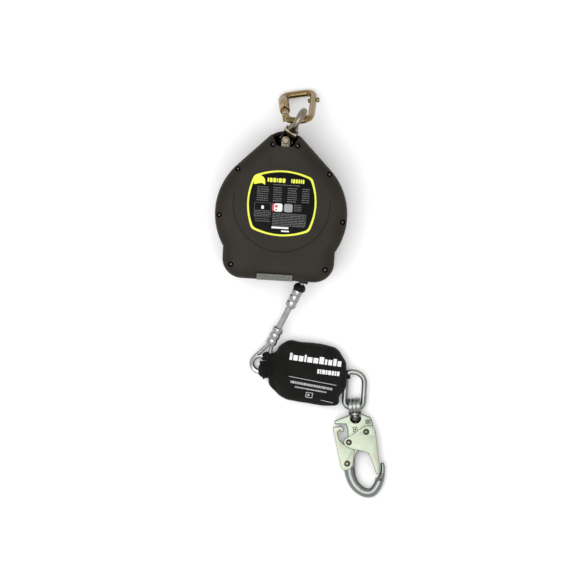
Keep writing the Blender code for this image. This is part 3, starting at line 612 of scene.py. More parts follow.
def housing_rows(seam, face):
    """Rings of points from the seam, up the side and over the rolled rim to the face."""
    side = 1.0 if face > seam else -1.0
    levels = [(seam, 0.5), (seam + side * 0.5, 0.0)]
    levels += [(seam + side * 20, 0.0), (face - side * RIM_DOWN, 0.0)]
    steps = 10
    for i in range(1, steps + 1):
        turn = pi / 2 * i / steps
        levels.append((face - side * RIM_DOWN * (1 - sin(turn)), RIM_IN * (1 - cos(turn))))
    levels.append((face, RIM_IN + 3.0))
    return [[(x, y, z) for x, y in housing_outline(inset)] for z, inset in levels]


def housing_shell(name, seam, face, cuts):
    """One cover: a shell with an open edge at the seam, and the cuts made in it."""
    outer = housing_rows(seam, face)
    shape = loft(outer, caps=False)
    count = len(outer[0])
    shape[1].append(list(range((len(outer) - 1) * count, len(outer) * count)))
    made = piece(name, shape, NYLON, "housing")
    bm = bmesh.new()
    bm.from_mesh(made.data)
    big = max(bm.faces, key=lambda f: len(f.verts))
    if big.normal.z * (face - seam) < 0:
        bmesh.ops.reverse_faces(bm, faces=bm.faces)
    bm.to_mesh(made.data)
    bm.free()
    wall = made.modifiers.new("wall", "SOLIDIFY")
    wall.thickness = WALL * MM
    wall.offset = -1.0
    wall.use_even_offset = True
    apply_modifiers(made, COVER_SHARP)
    carve(made, [joined(*cuts)], angle=COVER_SHARP)
    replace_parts(made, name)


def rod_between(start, end, radius):
    return sweep([Vector(start), Vector(end)], radius, 32, ends=0)


def ring_groove(start, end, step, height, closed):
    """A round cutter that runs about the drum's axis from one angle to another."""
    path = [(GROOVE_R * cos(radians(a)), GROOVE_R * sin(radians(a)), height)
            for a in [start + step * i for i in range(ceil((end - start) / step))]]
    return sweep([Vector(p) for p in path], GROOVE_ROD, 8, closed=closed, ends=0)


def front_and_rear():
    low, high = corners("rear_cover", "front_cover")
    seam = (corners("rear_cover")[1].z + corners("front_cover")[0].z) / 2
    spots = [(s * x, y) for x, y in SCREWS for s in (-1, 1)]
    wells = [rod_between((x, y, 60), (x, y, 130), WELL_R) for x, y in spots]
    groove = ring_groove(170, 371, 3, high.z + 0.2, False)
    patch = plate([rectangle(22, 7, 2.0, at=(0, 57))], high.z - 0.35, high.z + 3, 0.1)
    fan = [(-11.5, 80.5), (11.5, 80.5), (27, 112), (-27, 112)]
    notch = plate([rounded(fan, 3.0)], 42, 130, 0.1)
    exit_at, way = joint("line_swing")[0], joint("payout")[1]
    port = rod_between(exit_at - way * 30, exit_at + way * 12, PORT_R)
    housing_shell("front_cover", seam + SEAM, high.z, [*wells, groove, patch, notch, port])
    back_ring = ring_groove(0, 360, 3.75, low.z - 0.35, True)
    housing_shell("rear_cover", seam - SEAM, low.z, [back_ring, notch, port])


front_and_rear()


# ---------------------------------------------------------------- camera, light and stage

CAMERA_OVER = Vector((16.1, -118.9, 0.0)) * MM
VIEW_WIDTH = 0.8179  # of the plane halfway up the housing
VIEW_PLANE = 0.054
CAMERA_AWAY = 12.0  # far enough to leave almost no perspective
SENSOR = 36.0
ROLL = 3.5
FLOOR_AT, FLOOR_HALF = -0.25, 6000
SKY, OVERHEAD = 0.85, 16.0  # the strength of the white surround, and the softbox's watts


def camera():
    data = bpy.data.cameras.new("camera")
    data.sensor_width = SENSOR
    data.lens = SENSOR * CAMERA_AWAY / VIEW_WIDTH
    data.clip_end = 50.0
    made = placed("camera", data)
    made.location = CAMERA_OVER + Vector((0, 0, VIEW_PLANE + CAMERA_AWAY))
    made.rotation_euler = (0.0, 0.0, radians(ROLL))
    bpy.context.scene.camera = made


def softbox(name, at, aim_at, size, power):
    data = bpy.data.lights.new(name, "AREA")
    data.shape = "RECTANGLE"
    data.size, data.size_y = size
    data.energy = power
    made = placed(name, data)
    made.location = at
    made.rotation_euler = (Vector(aim_at) - Vector(at)).to_track_quat("-Z", "Y").to_euler()


def studio():
    world = bpy.data.worlds.new("studio")
    bpy.context.scene.world = world
    world.use_nodes = True
    background = world.node_tree.nodes["Background"]
    background.inputs["Color"].default_value = (1.0, 1.0, 1.0, 1.0)
    background.inputs["Strength"].default_value = SKY
    softbox("overhead", at=(-0.2, -0.35, 1.5), aim_at=(0.0, -0.1, 0.0), size=(1.3, 1.3), power=OVERHEAD)
    floor = Surface("pale_floor", 0.9, specular=0.1)
    floor.colour(floor.noise(300, 2.0), (0.0, grey(0.96)), (1.0, grey(0.98)))
    square = [(x * FLOOR_HALF, y * FLOOR_HALF, FLOOR_AT) for x, y in ((-1, -1), (1, -1), (1, 1), (-1, 1))]
    piece("floor", (square, [[0, 1, 2, 3]]), floor.mat)
    bpy.context.scene.view_settings.view_transform = "Standard"


camera()
studio()


# ---------------------------------------------------------------- labels and screws


FILM, FIELD, INK_TOP = 0.35, 0.45, 0.5  # heights above the label's base


def label_outline(inset):
    """A square with bulged sides and rounded corners, drawn in by inset."""
    high = corners("front_label")[1]
    bulge_x, bulge_y = high.x - inset, high.y - inset
    corner_x, corner_y = bulge_x - 8.0, bulge_y - 8.5
    steps = [-0.9 + 1.8 * i / 12 for i in range(13)]
    top = [(-corner_x * t, corner_y + 8.5 * (1 - t * t)) for t in steps]
    left = [(-corner_x - 8.0 * (1 - t * t), -corner_y * t) for t in steps]
    bottom = [(-x, -y) for x, y in top]
    right = [(-x, -y) for x, y in left]
    found = []
    sides = [top, left, bottom, right]
    knees = [(-corner_x, corner_y), (-corner_x, -corner_y), (corner_x, -corner_y), (corner_x, corner_y)]
    for i, (side, knee) in enumerate(zip(sides, knees)):
        found += side
        after = sides[(i + 1) % 4][0]
        for s in (0.3, 0.5, 0.7):
            a, k, b = Vector(side[-1]), Vector(knee), Vector(after)
            found.append(tuple(a * (1 - s) ** 2 + k * 2 * s * (1 - s) + b * s**2))
    return found


def bars(rows, low, high):
    """Thin printed bars, each (left, right, middle, height)."""
    outlines = [rectangle((b - a) / 2, tall / 2, tall * 0.2, 2, ((a + b) / 2, y)) for a, b, y, tall in rows]
    return joined(*[plate([outline], low, high, 0.02) for outline in outlines])


def broken_line(left, right, middle, height, seed, longest=5.0, gap=0.8):
    """A line of short blocks of unequal length, standing for text without being any."""
    found, at, k = [], left, seed
    while at < right - 0.8:
        k = (k * 37 + 11) % 101
        size = longest * (0.35 + 0.65 * k / 100)
        found.append((at, min(at + size, right), middle, height))
        at += size + gap
    return found


def small_print():
    """The label's faint lines: a rule of words, four columns, and four blocks of text."""
    found = broken_line(-13.5, 24.0, 26.0, 1.0, 5, 6.0, 0.7)
    for c, (left, right) in enumerate(((-36.0, -19.5), (-14.0, 0.5), (5.0, 23.0), (28.0, 38.5))):
        for row in range(7):
            indent, middle = 1.2 * ((row * 3 + c) % 3), 21.6 - row * 3.1
            found += broken_line(left + indent, right - indent, middle, 1.3, 7 * row + c + 2, 4.0, 0.6)
    blocks = [(8, -12.0, 35.5, -15.0, 2.35, 1.2, 13, 7.0), (4, -37.5, -15.5, -12.0, 2.3, 1.1, 23, 4.0)]
    blocks += [(2, -36.5, -15.5, -23.5, 3.0, 1.1, 33, 4.0), (4, 17.5, 28.5, -1.5, 2.6, 1.1, 43, 3.5)]
    for count, left, right, top, pitch, height, seed, longest in blocks:
        for row in range(count):
            found += broken_line(left, right, top - row * pitch, height, row + seed, longest, 0.6)
    return found


def front_label():
    base = corners("front_label")[0].z
    film = piece("label_film", plate([label_outline(0.0)], base, base + FILM, 0.1), YELLOW, "housing")
    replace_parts(film, "front_label")
    corner = [(-41.5, 24.5), (-39.2, 38.6), (-33.0, 38.8), (-28.0, 36.0), (-25.3, 32.0), (-25.0, 24.0)]
    corner += [(-28.5, 27.2), (-34.0, 26.6)]
    title = broken_line(-22.0, 4.5, 32.2, 6.2, 3, 4.6, 0.9)
    title += broken_line(11.5, 30.0, 32.2, 6.2, 8, 4.4, 0.9)
    box = [rectangle(x, y, r, 3, (-26.6, -10.6)) for x, y, r in ((11.8, 10.2, 0.8), (11.4, 9.8, 0.6))]
    marks = [(-28.6, -24.9, -7.0, 4.6), (-12.5, 11.5, -34.6, 2.6), (1.5, 12.5, -39.2, 2.0)]
    ink = base + FIELD, base + INK_TOP
    for name, shape, mat in (
        ("field", plate([label_outline(2.5)], base + FILM, base + FIELD, 0.02), BLACK),
        ("corner", plate([rounded(corner, 2.4)], *ink, 0.02), YELLOW),
        ("title", bars(title, *ink), YELLOW),
        ("lines", bars(small_print(), *ink), FAINT),
        ("frame", plate(box, *ink, 0.02), FAINT),
        ("marks", bars(marks, *ink), WHITE),
        ("square", bars([(-10.6, 1.2, -6.2, 11.6)], *ink), WHITE),
        ("edge", bars([(-13.2, -10.8, -6.2, 12.0)], *ink), RED),
        ("spots", bars([(-9.4, -5.4, -4.6, 3.6), (-9.0, -5.8, -9.4, 1.6)], ink[1], base + 0.54), RED),
        ("chequer", bars([(3.6, 15.6, -6.2, 11.6)], *ink), CHEQUER),
    ):
        piece(f"label_{name}", shape, mat, "housing")


def edge_label():
    """A grey strip that follows the rolled rim at the foot, with three rows of faint print."""
    low, high = corners("edge_label")
    turn = radians(45)
    half = (high.x - low.x) / 2 - 0.3
    middle = Vector([(low[i] + high[i]) / 2 for i in range(3)])
    where = place(middle, (1, 0, 0), (0, cos(turn), sin(turn)), (0, -sin(turn), cos(turn)))
    film = plate([rectangle(half, 6.0, 0.8)], -0.25, 0.25, 0.06)
    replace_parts(piece("strip_film", film, STRIP, "housing", where), "edge_label")
    rows = []
    for row in range(3):
        rows += broken_line(-half + 3, half - 3, 2.6 - row * 2.6, 0.9, row + 51, 6.0, 0.8)
    piece("strip_lines", bars(rows, 0.25, 0.29), FAINT, "housing", where)


def screws():
    """Pan heads with a six-lobed socket, at the bottom of their wells."""
    for i in range(8):
        node = f"cover_screw_{i + 1}"
        low, high = corners(node)
        x, y = (low.x + high.x) / 2, (low.y + high.y) / 2
        radius, top = (high.x - low.x) / 2, high.z
        head = [(0, top), (radius * 0.55, top), (radius, top - 1.0), (radius, top - 2.9), (1.8, top - 2.9)]
        shape = revolve(rounded(head + [(1.8, low.z + 2), (0, low.z)], 0.3, closed=False), 32)
        where = Matrix.Translation((x, y, 0))
        # screws above the foot take blackened steel as painted shade of their deep wells; the lowest ones
        # keep their zinc
        made = piece(f"screw_{i + 1}", shape, SCREW if y < -60 else DARK, "housing", where)
        star = [((1.45 + 0.3 * cos(6 * a)) * cos(a), (1.45 + 0.3 * cos(6 * a)) * sin(a)) for a in turns(48)]
        carve(made, [plate([star], top - 1.6, top + 2, 0.05)], where=where)
        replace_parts(made, node)


front_label()
edge_label()
screws()


# ---------------------------------------------------------------- anchor end

TINE_IN, TINE_OUT = 5.9, 8.9
EYE_AT, EYE_R, EYE_ROD = 50.6, 14.2, 4.3
KRAB_ROD, KRAB_LONG = 4.8, 94.5
STEM_R, PIN_R, PIVOT_R = 4.0, 3.6, 2.0  # bores for the eye's stem, the trunnion pins and the gate's pin
GATE_FOOT = Vector((-17.6, 22.4))
GATE_LONG = KRAB_LONG - GATE_FOOT.y - 12.4


def yoke():
    where = yoke_place()
    barrel = [(0, -9.9), (5.2, -9.9), (6.0, -9.0), (6.0, 9.0), (5.2, 9.9), (0, 9.9)]
    collar = moved(revolve(barrel, 48, "X"), Matrix.Translation((0, 21, 0)))
    made = piece("yoke_casting", collar, ZINC, "yoke_body", where)
    outline = arc((0, 0), 6.3, 180, 360, 20) + [(4.9, 21.0), (-4.9, 21.0)]
    arms = both([outline], TINE_IN, TINE_OUT, 0.5)
    arms = [([Vector((p[2], p[1], p[0])) for p in points], faces) for points, faces in arms]
    carve(made, arms, "UNION", where)
    holes = [rod_between((-20, 0, 0), (20, 0, 0), PIN_R), rod_between((0, 8, 0), (0, 40, 0), STEM_R)]
    carve(made, [joined(*holes)], where=where)
    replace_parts(made, "yoke")


def trunnion():
    at, across = joint("yoke_tilt")
    where = place(at, across, Vector((0, 0, 1)).cross(across), (0, 0, 1))
    block = [(3.8, -10.7), (5.0, -10.7), (5.6, -10.1), (5.6, 10.1), (5.0, 10.7), (3.8, 10.7)]
    made = piece("trunnion_piece", revolve(block, 48), STEEL, "anchor_block", where)
    pins = [rod_between((side * 4.6, 0, 0), (side * 9.4, 0, 0), 3.3) for side in (-1, 1)]
    carve(made, [joined(*pins)], "UNION", where)
    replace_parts(made, "trunnion_block")


def swivel_eye():
    where = yoke_place()
    path = [Vector((0, EYE_AT + EYE_R * sin(turn), EYE_R * cos(turn))) for turn in turns(64)]

    def size(t):
        return 1.0 + 0.35 * max(0.0, sin(2 * pi * t * 63 / 64)) ** 2

    ring = sweep(path, EYE_ROD, 24, closed=True, up=(1, 0, 0), scale=size)
    made = piece("eye_forging", ring, ZINC, "eye", where)
    stem = [(0, 13.4), (3.6, 13.4), (3.6, 27.4), (7.2, 27.4), (7.2, 32.0)]
    stem += [(6.1, 34.0), (5.2, 37.0), (0, 38.0)]
    carve(made, [revolve(rounded(stem, 0.5, closed=False), 40, "Y")], "UNION", where, 50)
    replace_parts(made, "swivel_eye")


def carabiner_line():
    """The bar's middle line, across and down, from the gate's foot round to its nose."""
    far = KRAB_LONG
    line = [(GATE_FOOT.x + 0.6, 15.2), (-13.5, 8.5), (-8.0, 3.6), (-1.5, 0.6), (5.0, -0.2), (11.0, 1.8)]
    line += [(15.6, 6.4), (18.2, 13.5), (20.0, 25.0), (22.4, 47.0), (24.6, 69.0), (25.3, far - 12.0)]
    line += [(23.6, far - 5.2), (18.5, far - 0.9), (11.5, far + 0.2), (0.0, far), (-9.0, far - 0.5)]
    return line + [(-14.6, far - 2.1), (-17.6, far - 6.1), (-18.0, far - 11.5)]


def carabiner():
    where = krab_place()
    path = smooth_path([(*p, 0) for p in carabiner_line()], 5)
    made = piece("carabiner_bar", sweep(path, KRAB_ROD, 28, up=(0, 0, 1), ends=0), GOLD, "carabiner", where)
    fx, fy = GATE_FOOT
    outline = arc((fx, fy), 5.0, 0, 180, 20) + [(fx - 5.0, 14.2), (fx + 5.0, 14.2)]
    carve(made, both([outline], 2.4, 5.0, 0.5), "UNION", where)
    bores = [rod_between((fx, fy, -9), (fx, fy, 9), PIVOT_R)]
    bores.append(rod_between((14.0, 66.3, 0), (34.0, 65.0, 0), 2.3))
    slot = plate([rectangle(7.0, 5.6, 0.4, 2, (fx, fy + 3.2))], -2.35, 2.35, 0.1)
    carve(made, [joined(*bores), slot], where=where)
    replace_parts(made, "carabiner_body")
    head = [(0, -7.9), (2.2, -7.9), (3.1, -7.0), (3.2, -5.3), (2.0, -5.0)]
    head += [(2.0, 5.0), (3.5, 5.3), (3.6, 7.6), (2.7, 8.7), (0, 9.0)]
    tilt = Matrix.Rotation(atan2(-1.2, 18.0), 4, "Z")
    bar = moved(revolve(head, 32, "X"), Matrix.Translation((24.3, 65.7, 0)) @ tilt)
    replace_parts(piece("captive_bar", bar, GOLD, "carabiner", where), "captive_pin")
    half = [(0, 6.2), (1.9, 6.2), (2.4, 5.7), (2.4, 5.1), (1.7, 5.0)]
    pin = moved(revolve([(r, -h) for r, h in half] + half[::-1], 28), Matrix.Translation((fx, fy, 0)))
    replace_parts(piece("foot_pin", pin, STEEL, "carabiner", where), "gate_pin")


def gate_and_sleeve():
    where = krab_place("krab_gate_hinge")
    top = GATE_LONG
    bar = [(0, 5.0), (4.2, 5.0), (4.7, 6.0), (4.7, top - 1.4), (4.0, top), (0, top)]
    made = piece("gate_bar", revolve(bar, 40, "Y"), GOLD, "krab_gate", where)
    tongue = arc((0, 0), 4.4, 180, 360, 20) + [(4.2, 8.0), (-4.2, 8.0)]
    carve(made, [plate([tongue], -2.1, 2.1, 0.3)], "UNION", where)
    carve(made, [rod_between((0, 0, -9), (0, 0, 9), PIVOT_R)], where=where)
    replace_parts(made, "carabiner_gate")
    profile = [(5.1, 17.0), (6.3, 17.0), (7.0, 18.2)]
    for k in range(9):
        at = 20.0 + k * 1.5
        profile += [(7.3, at), (7.3, at + 0.9), (7.0, at + 1.1), (7.0, at + 1.4)]
    profile += [(7.3, 34.4), (7.3, top - 1.4), (6.7, top), (5.1, top)]
    made = piece("sleeve_turned", revolve(profile, 56, "Y"), GOLD, "sleeve", where, 30)
    notch = plate([[(-3.4, 10.0), (3.4, 10.0), (0.0, 22.5)]], 2.0, 12.0, 0.05)
    half_turn = [pi * k / 12 for k in range(13)]
    ball = revolve([(1.5 * sin(a), -1.5 * cos(a)) for a in half_turn], 20)
    ball = moved(ball, Matrix.Translation((0, 28.0, 6.9)))
    carve(made, [notch], where=where, angle=30)
    carve(made, [ball], "UNION", where, 30)
    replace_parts(made, "lock_sleeve")


yoke()
trunnion()
swivel_eye()
carabiner()
gate_and_sleeve()


# ---------------------------------------------------------------- lifeline end

FERRULE_1, FERRULE_2 = (13.6, 42.3), (77.8, 105.6)
ROPE_R, LOOP_R = 2.8, 12.7


def spread(points, step):
    """The same line with its points about one step apart."""
    found = [points[0]]
    for a, b in zip(points, points[1:]):
        parts = max(1, ceil((b - a).length / step - 0.5))
        found += [a + (b - a) * k / parts for k in range(1, parts + 1)]
    return found


def stranded(path, radius, lay):
    """A twisted rope: its outline has one lobe for each strand, and turns once in every lay."""
    rows, run, strands, sides = [], 0.0, 6, 36
    for i, (point, (_, side, over)) in enumerate(zip(path, frames_along(path))):
        run += (point - path[i - 1]).length if i else 0.0
        row = []
        for turn in turns(sides):
            lobe = abs(cos(strands / 2 * (turn - 2 * pi * run / lay)))
            size = radius * (0.82 + 0.18 * lobe)
            row.append(point + side * (size * cos(turn)) + over * (size * sin(turn)))
        rows.append(row)
    return loft(rows)


def exit_guide():
    """The flanged rubber guide in the housing's rope port."""
    at, way = joint("line_swing")[0], joint("payout")[1]
    where = Matrix.Translation(at) @ way.to_track_quat("Z", "Y").to_matrix().to_4x4()
    profile = [(6.9, 2.2), (7.5, 1.6), (7.5, -6.5), (4.0, -6.5), (4.0, 2.2)]
    made = piece("guide_moulding", revolve(rounded(profile, 0.5), 56), RUBBER, "housing", where)
    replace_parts(made, "exit_guide")


def pressed_sleeve(name, node, span):
    """A ferrule with three pressed bands and two waists."""
    start, end = span
    band, waist, length = 6.5, 5.9, end - start
    profile = [(band - 1.2, end), (band, end - 1.2)]
    for centre in (0.67, 0.33):
        at = start + length * centre
        profile += [(band, at + 2.4), (waist, at + 1.2), (waist, at - 1.2), (band, at - 2.4)]
    profile += [(band, start + 1.2), (band - 1.2, start), (2.6, start), (2.6, end)]
    oval = Matrix.Diagonal((1.0, 1.18, 0.88, 1.0))
    shape = moved(revolve(rounded(profile, 0.8), 56, "X"), oval)
    return instead(piece(name, shape, STEEL, "line_end", line_place()[0]), node)


def lifeline():
    """The rope from the exit, once round the thimble and back to the lower ferrule."""
    where, reach = line_place()
    neck = FERRULE_2[1] + 6.0
    turn = 90.0 + degrees(asin(LOOP_R / (reach - neck)))
    line = [(0, 0), (24, 0), (48, 0), (72, 0), (94, 0), (99, 1.4), (104, 3.0), (neck - 2.0, 3.2)]
    line += arc((reach, 0), LOOP_R, turn, -turn, 14) + [(neck - 2.0, -3.2), (104.4, -3.2)]
    route = spread([Vector((x, y, 0)) for x, y in line], 7.0)
    path = smooth_path(route, 7)
    rope = piece("lifeline_rope", stranded(path, ROPE_R, 24.0), WIRE, "line_end", where, 80)
    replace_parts(rope, "lifeline_loop")

    pieces = [pressed_sleeve("ferrule_near", "upper_ferrule", FERRULE_1)]
    pieces.append(pressed_sleeve("ferrule_far", "lower_ferrule", FERRULE_2))
    cone = [(7.9, 13.2), (8.9, 12.5), (8.9, 10.6), (8.2, 10.2), (8.2, 9.6), (8.6, 9.0), (8.4, 8.0)]
    cone += [(5.6, 4.9), (3.0, 4.6), (3.0, 13.2)]
    made = piece("bumper_moulding", revolve(rounded(cone, 0.5), 56, "X"), RUBBER, "line_end", where)
    pieces.append(instead(made, "bumper"))

    low, high = FERRULE_1[1] + 0.2, FERRULE_2[0] - 0.2
    ridged = high - low - 1.6
    ridges = [(4.45 + 0.12 * cos(2 * pi * k / 6), low + 0.8 + ridged * k / 60) for k in range(61)]
    tube = [(3.0, low), (4.2, low)] + ridges + [(4.2, high), (3.0, high)]
    made = piece("sleeve_tube", revolve(tube, 48, "X"), SLEEVE, "line_end", where, 60)
    pieces.append(instead(made, "rope_sleeve"))

    half = [(13.7, 3.9), (13.2, 3.2), (10.6, 2.6), (9.7, 1.4)]
    groove = half + [(r, -h) for r, h in reversed(half)]
    groove += [(12.4, -4.1), (9.4, -3.3), (8.3, -1.8), (8.3, 1.8), (9.4, 3.3), (12.4, 4.1)]
    ring = moved(revolve(rounded(groove, 0.4), 72), Matrix.Translation((reach, 0, 0)))
    pieces.append(instead(piece("thimble_ring", ring, STEEL, "line_end", where), "thimble"))


exit_guide()
lifeline()


# ---------------------------------------------------------------- energy absorber


def ease(low, high, value):
    """How far a value is from low to high, from 0 to 1, without a kink at either end."""
    t = min(1.0, max(0.0, (value - low) / (high - low)))
    return t * t * (3 - 2 * t)


SWELL_FRAMES = 20


def swollen(made, voxel, pressure, most):
    """Remeshes a closed form, swells it as cloth, and keeps each point near where it was."""
    step = made.modifiers.new("remesh", "REMESH")
    step.mode = "VOXEL"
    step.voxel_size = voxel * MM
    apply_modifiers(made, 0)
    before = [v.co.copy() for v in made.data.vertices]
    cloth = made.modifiers.new("cloth", "CLOTH")
    cloth.settings.quality = 6
    cloth.settings.use_pressure = True
    cloth.settings.uniform_pressure_force = pressure
    cloth.settings.effector_weights.gravity = 0.0
    for moment in range(1, SWELL_FRAMES + 1):
        bpy.context.scene.frame_set(moment)
    apply_modifiers(made, 0)
    for vertex, start in zip(made.data.vertices, before):
        shift = vertex.co - start
        if shift.length > most * MM:
            vertex.co = start + shift.normalized() * most * MM
    bpy.context.scene.frame_set(1)


def cover_shape():
    """The cover's closed form: flat below, thinner where it is gathered at the web knot."""
    outline = [(6, -204), (22, -193), (58, -193.5), (93, -200.5), (105, -216), (110, -230), (110.5, -258)]
    outline += [(103, -267), (99, -284), (84, -284.5), (40, -280), (8.5, -272.5), (-6.5, -250), (-3, -216)]
    outline = [Vector(p) for p in rounded(outline, 5.0, steps=5)]
    middle = sum(outline, Vector((0, 0))) / len(outline)
    levels = [(-1.0, 9.0), (-0.86, 4.0), (-0.5, 0.8), (0.0, 0.0), (0.5, 0.8), (0.86, 4.0), (1.0, 9.0)]
    rows = []
    for share, inset in levels:
        row = []
        for point in outline:
            x, y = point + (middle - point).normalized() * inset
            full = ease(-2.0, 42.0, x)
            end = ease(112.0, 84.0, x)
            height = 8.0 + 7.0 * full - 3.0 * (1 - end)
            centre = 10.5 + 7.0 * full - 1.0 * (1 - end)
            row.append(Vector((x, y, centre + share * height)))
        rows.append(row)
    return loft(rows)


KNOT_AT = Vector((-4.0, -232.0, 11.0))
FOLDS, FOLD_DEPTH, LOWEST = 13, 2.6, 1.2  # the gathers round the knot, and the cover's height off the floor
PRINT_LIFT, PRINT_STEP, INK = 0.14, 1.2, 0.10


def gathered(made):
    """Folds that run out from the web knot, and shallow creases all over."""
    for vertex in made.data.vertices:
        at = vertex.co / MM
        away = at - KNOT_AT
        turn = atan2(away.y, away.x)
        reach = Vector((away.x, away.y)).length
        fold = cos(FOLDS * turn + 2.5 * noise.noise(at * 0.04))
        depth = FOLD_DEPTH * ease(80.0, 12.0, reach) * ease(2.0, 10.0, reach)
        crease = 1.3 * noise.noise(at * 0.045) + 0.5 * noise.noise(at * 0.13)
        vertex.co += vertex.normal * (depth * fold + crease) * MM
        vertex.co.z = max(vertex.co.z, LOWEST * MM)


def absorber():
    made = piece("absorber_cover", cover_shape(), CLOTH)
    swollen(made, voxel=4.0, pressure=4.0, most=3.5)
    gathered(made)
    step = made.modifiers.new("finer", "SUBSURF")
    step.levels = 1
    step.render_levels = 1
    apply_modifiers(made, 0)
    corners_of = ((98, -224), (125, -224), (125, -292), (98, -292))
    mouth = loft([[(x, y, z) for x, y in corners_of] for z in (6.5, 22.5)])
    carve(made, [mouth], angle=60)
    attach(made, "pack")
    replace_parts(made, "absorber_pack")
    return made


def on_surface(tree, x, y):
    """The point of print above a spot on the cover."""
    hit = tree.ray_cast(Vector((x, y, 80.0)) * MM, Vector((0, 0, -1)))
    return Vector((x, y, (hit[0].z / MM if hit[0] else 0.0) + PRINT_LIFT))


def printed(name, tree, blocks, mat, start, lean):
    """Blocks (left, right, middle, height) of print laid on the cover, from a start point at a lean."""
    turn = Matrix.Rotation(radians(lean), 2)
    points, faces = [], []
    for left, right, middle, height in blocks:
        columns = max(1, ceil((right - left) / PRINT_STEP))
        lines = max(1, ceil(height / PRINT_STEP))
        first = len(points)
        for i in range(columns + 1):
            for k in range(lines + 1):
                along = left + (right - left) * i / columns
                flat_at = turn @ Vector((along, middle + height * (k / lines - 0.5))) + Vector(start)
                points.append(on_surface(tree, flat_at.x, flat_at.y))
        for i in range(columns):
            for k in range(lines):
                a = first + i * (lines + 1) + k
                faces.append([a, a + 1, a + lines + 2, a + lines + 1])
    made = piece(name, (points, faces), mat)
    wall = made.modifiers.new("ink", "SOLIDIFY")
    wall.thickness = INK * MM
    wall.offset = 0.0
    apply_modifiers(made, 60)
    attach(made, "pack")


def cover_print(cover):
    """Plain blocks and rules of print, in the sizes and places of printed lines."""
    tree = BVHTree.FromObject(cover, bpy.context.evaluated_depsgraph_get())
    big = broken_line(0.0, 74.0, 0.0, 7.6, 3, 7.4, 1.5)
    big = [(a, b, (k % 3 == 0) * 1.2, 7.6 + (k % 3 == 0) * 2.4) for k, (a, b, _, _) in enumerate(big)]
    emblem = [(0, 10, 3.4, 0.9), (0, 10, -3.4, 0.9), (0, 1.0, 0, 5.9)]
    emblem += [(9.0, 10, 0, 5.9), (2.6, 5.4, 0, 2.6)]
    for name, blocks, mat, start, lean in (
        ("title", big, WHITE, (24.6, -216.8), -4.4),
        ("subtitle", broken_line(0.0, 33.0, 0.0, 6.2, 9, 4.6, 0.9), WHITE, (65.0, -234.6), -3.5),
        ("rule", [(0.0, 68.8, 0.0, 0.85)], PALE_INK, (25.0, -244.2), -7.3),
        ("line_1", broken_line(0.0, 61.0, 0.0, 3.4, 14, 3.2, 0.7), PALE_INK, (28.0, -251.6), -6.9),
        ("line_2", broken_line(0.0, 45.6, 0.0, 1.9, 23, 2.6, 0.5), PALE_INK, (34.4, -258.6), -6.6),
        ("square", emblem, PALE_INK, (50.4, -268.6), -6.0),
        ("footer", [(0.0, 17.6, 0.0, 0.8)], PALE_INK, (72.6, -275.2), -10.0),
    ):
        printed(f"cover_{name}", tree, blocks, mat, start, lean)


def band(name, centre, half_y, half_z, width, thick, lean, swing):
    """A flat band of webbing wound once round the knot."""
    path = []
    for turn in turns(48):
        away = Vector((lean * cos(turn), half_y * cos(turn), half_z * sin(turn)))
        path.append(centre + Matrix.Rotation(radians(swing), 3, "Z") @ away)
    section = rectangle(thick / 2, width / 2, thick * 0.45, 3)
    piece(name, sweep(path, 1.0, closed=True, section=section), WEB, "pack", angle=60)


def lump(name, stations, height):
    """A creased roll of cloth through stations of (x, y, half width, half depth)."""
    path = smooth_path([(x, y, height) for x, y, _, _ in stations], 4)
    sizes = smooth_path([(wide, tall, 0) for _, _, wide, tall in stations], 4)
    rows = []
    for point, size in zip(path, sizes):
        row = []
        for turn in turns(64):
            at = point + Vector((0, size.x * cos(turn), size.y * sin(turn)))
            away = (at - point).normalized()
            row.append(at + away * (1.1 * noise.noise(at * 0.16) + 0.5 * cos(9 * turn + at.x * 0.35)))
        rows.append(row)
    return piece(name, loft(rows), CLOTH, "pack", angle=70)


def web_knot():
    """The cover's end, gathered and bound with webbing round the thimble."""
    stations = [(-19.0, -238.0, 2.5, 2.5), (-18.0, -238.0, 6.0, 5.6), (-14.0, -237.5, 10.0, 8.0)]
    stations += [(-9.0, -236.5, 12.0, 9.0), (-4.0, -234.5, 14.0, 8.8)]
    stations += [(1.0, -233.0, 16.0, 8.8), (8.0, -233.0, 17.5, 9.4)]
    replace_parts(lump("knot_core", stations, 11.2), "inlet_web_loop")
    band("knot_band_1", Vector((-11.0, -237.0, 11.4)), 11.4, 9.4, 8.5, 1.7, 2.0, 24)
    band("knot_band_2", Vector((-2.5, -234.5, 11.4)), 14.4, 9.8, 6.5, 1.7, -2.5, 6)
    upper = [(-15.0, -219.0, 1.8, 2.4), (-14.2, -218.6, 3.6, 4.4), (-11.0, -217.8, 5.4, 6.4)]
    upper += [(-6.0, -217.2, 5.8, 7.2), (-1.0, -217.8, 5.2, 7.0), (5.0, -219.0, 6.5, 7.4)]
    lump("knot_roll", upper, 12.6)
    band("knot_band_3", Vector((-5.5, -218.2, 12.6)), 6.3, 8.0, 4.5, 1.4, 1.6, -12)


def outlet_web():
    """The strap that holds the link's bar inside the cover's mouth."""
    bar = joint("link_flip")[0]
    low, high = -243.0, -232.0
    outer = arc((bar.x, bar.z), 6.3, -90, 90, 24) + [(94.0, bar.z + 6.3), (94.0, bar.z - 6.3)]
    inner = arc((bar.x, bar.z), 4.5, -90, 90, 24) + [(93.0, bar.z + 4.5), (93.0, bar.z - 4.5)]
    strap = plate([outer, inner], -high, -low, 0.3)
    turned = [Vector((p[0], -p[2], p[1])) for p in strap[0]]
    made = piece("outlet_strap", (turned, strap[1]), WEB, "pack")
    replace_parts(made, "outlet_web_loop")


cover = absorber()
cover_print(cover)
web_knot()
outlet_web()


# ---------------------------------------------------------------- link and hook

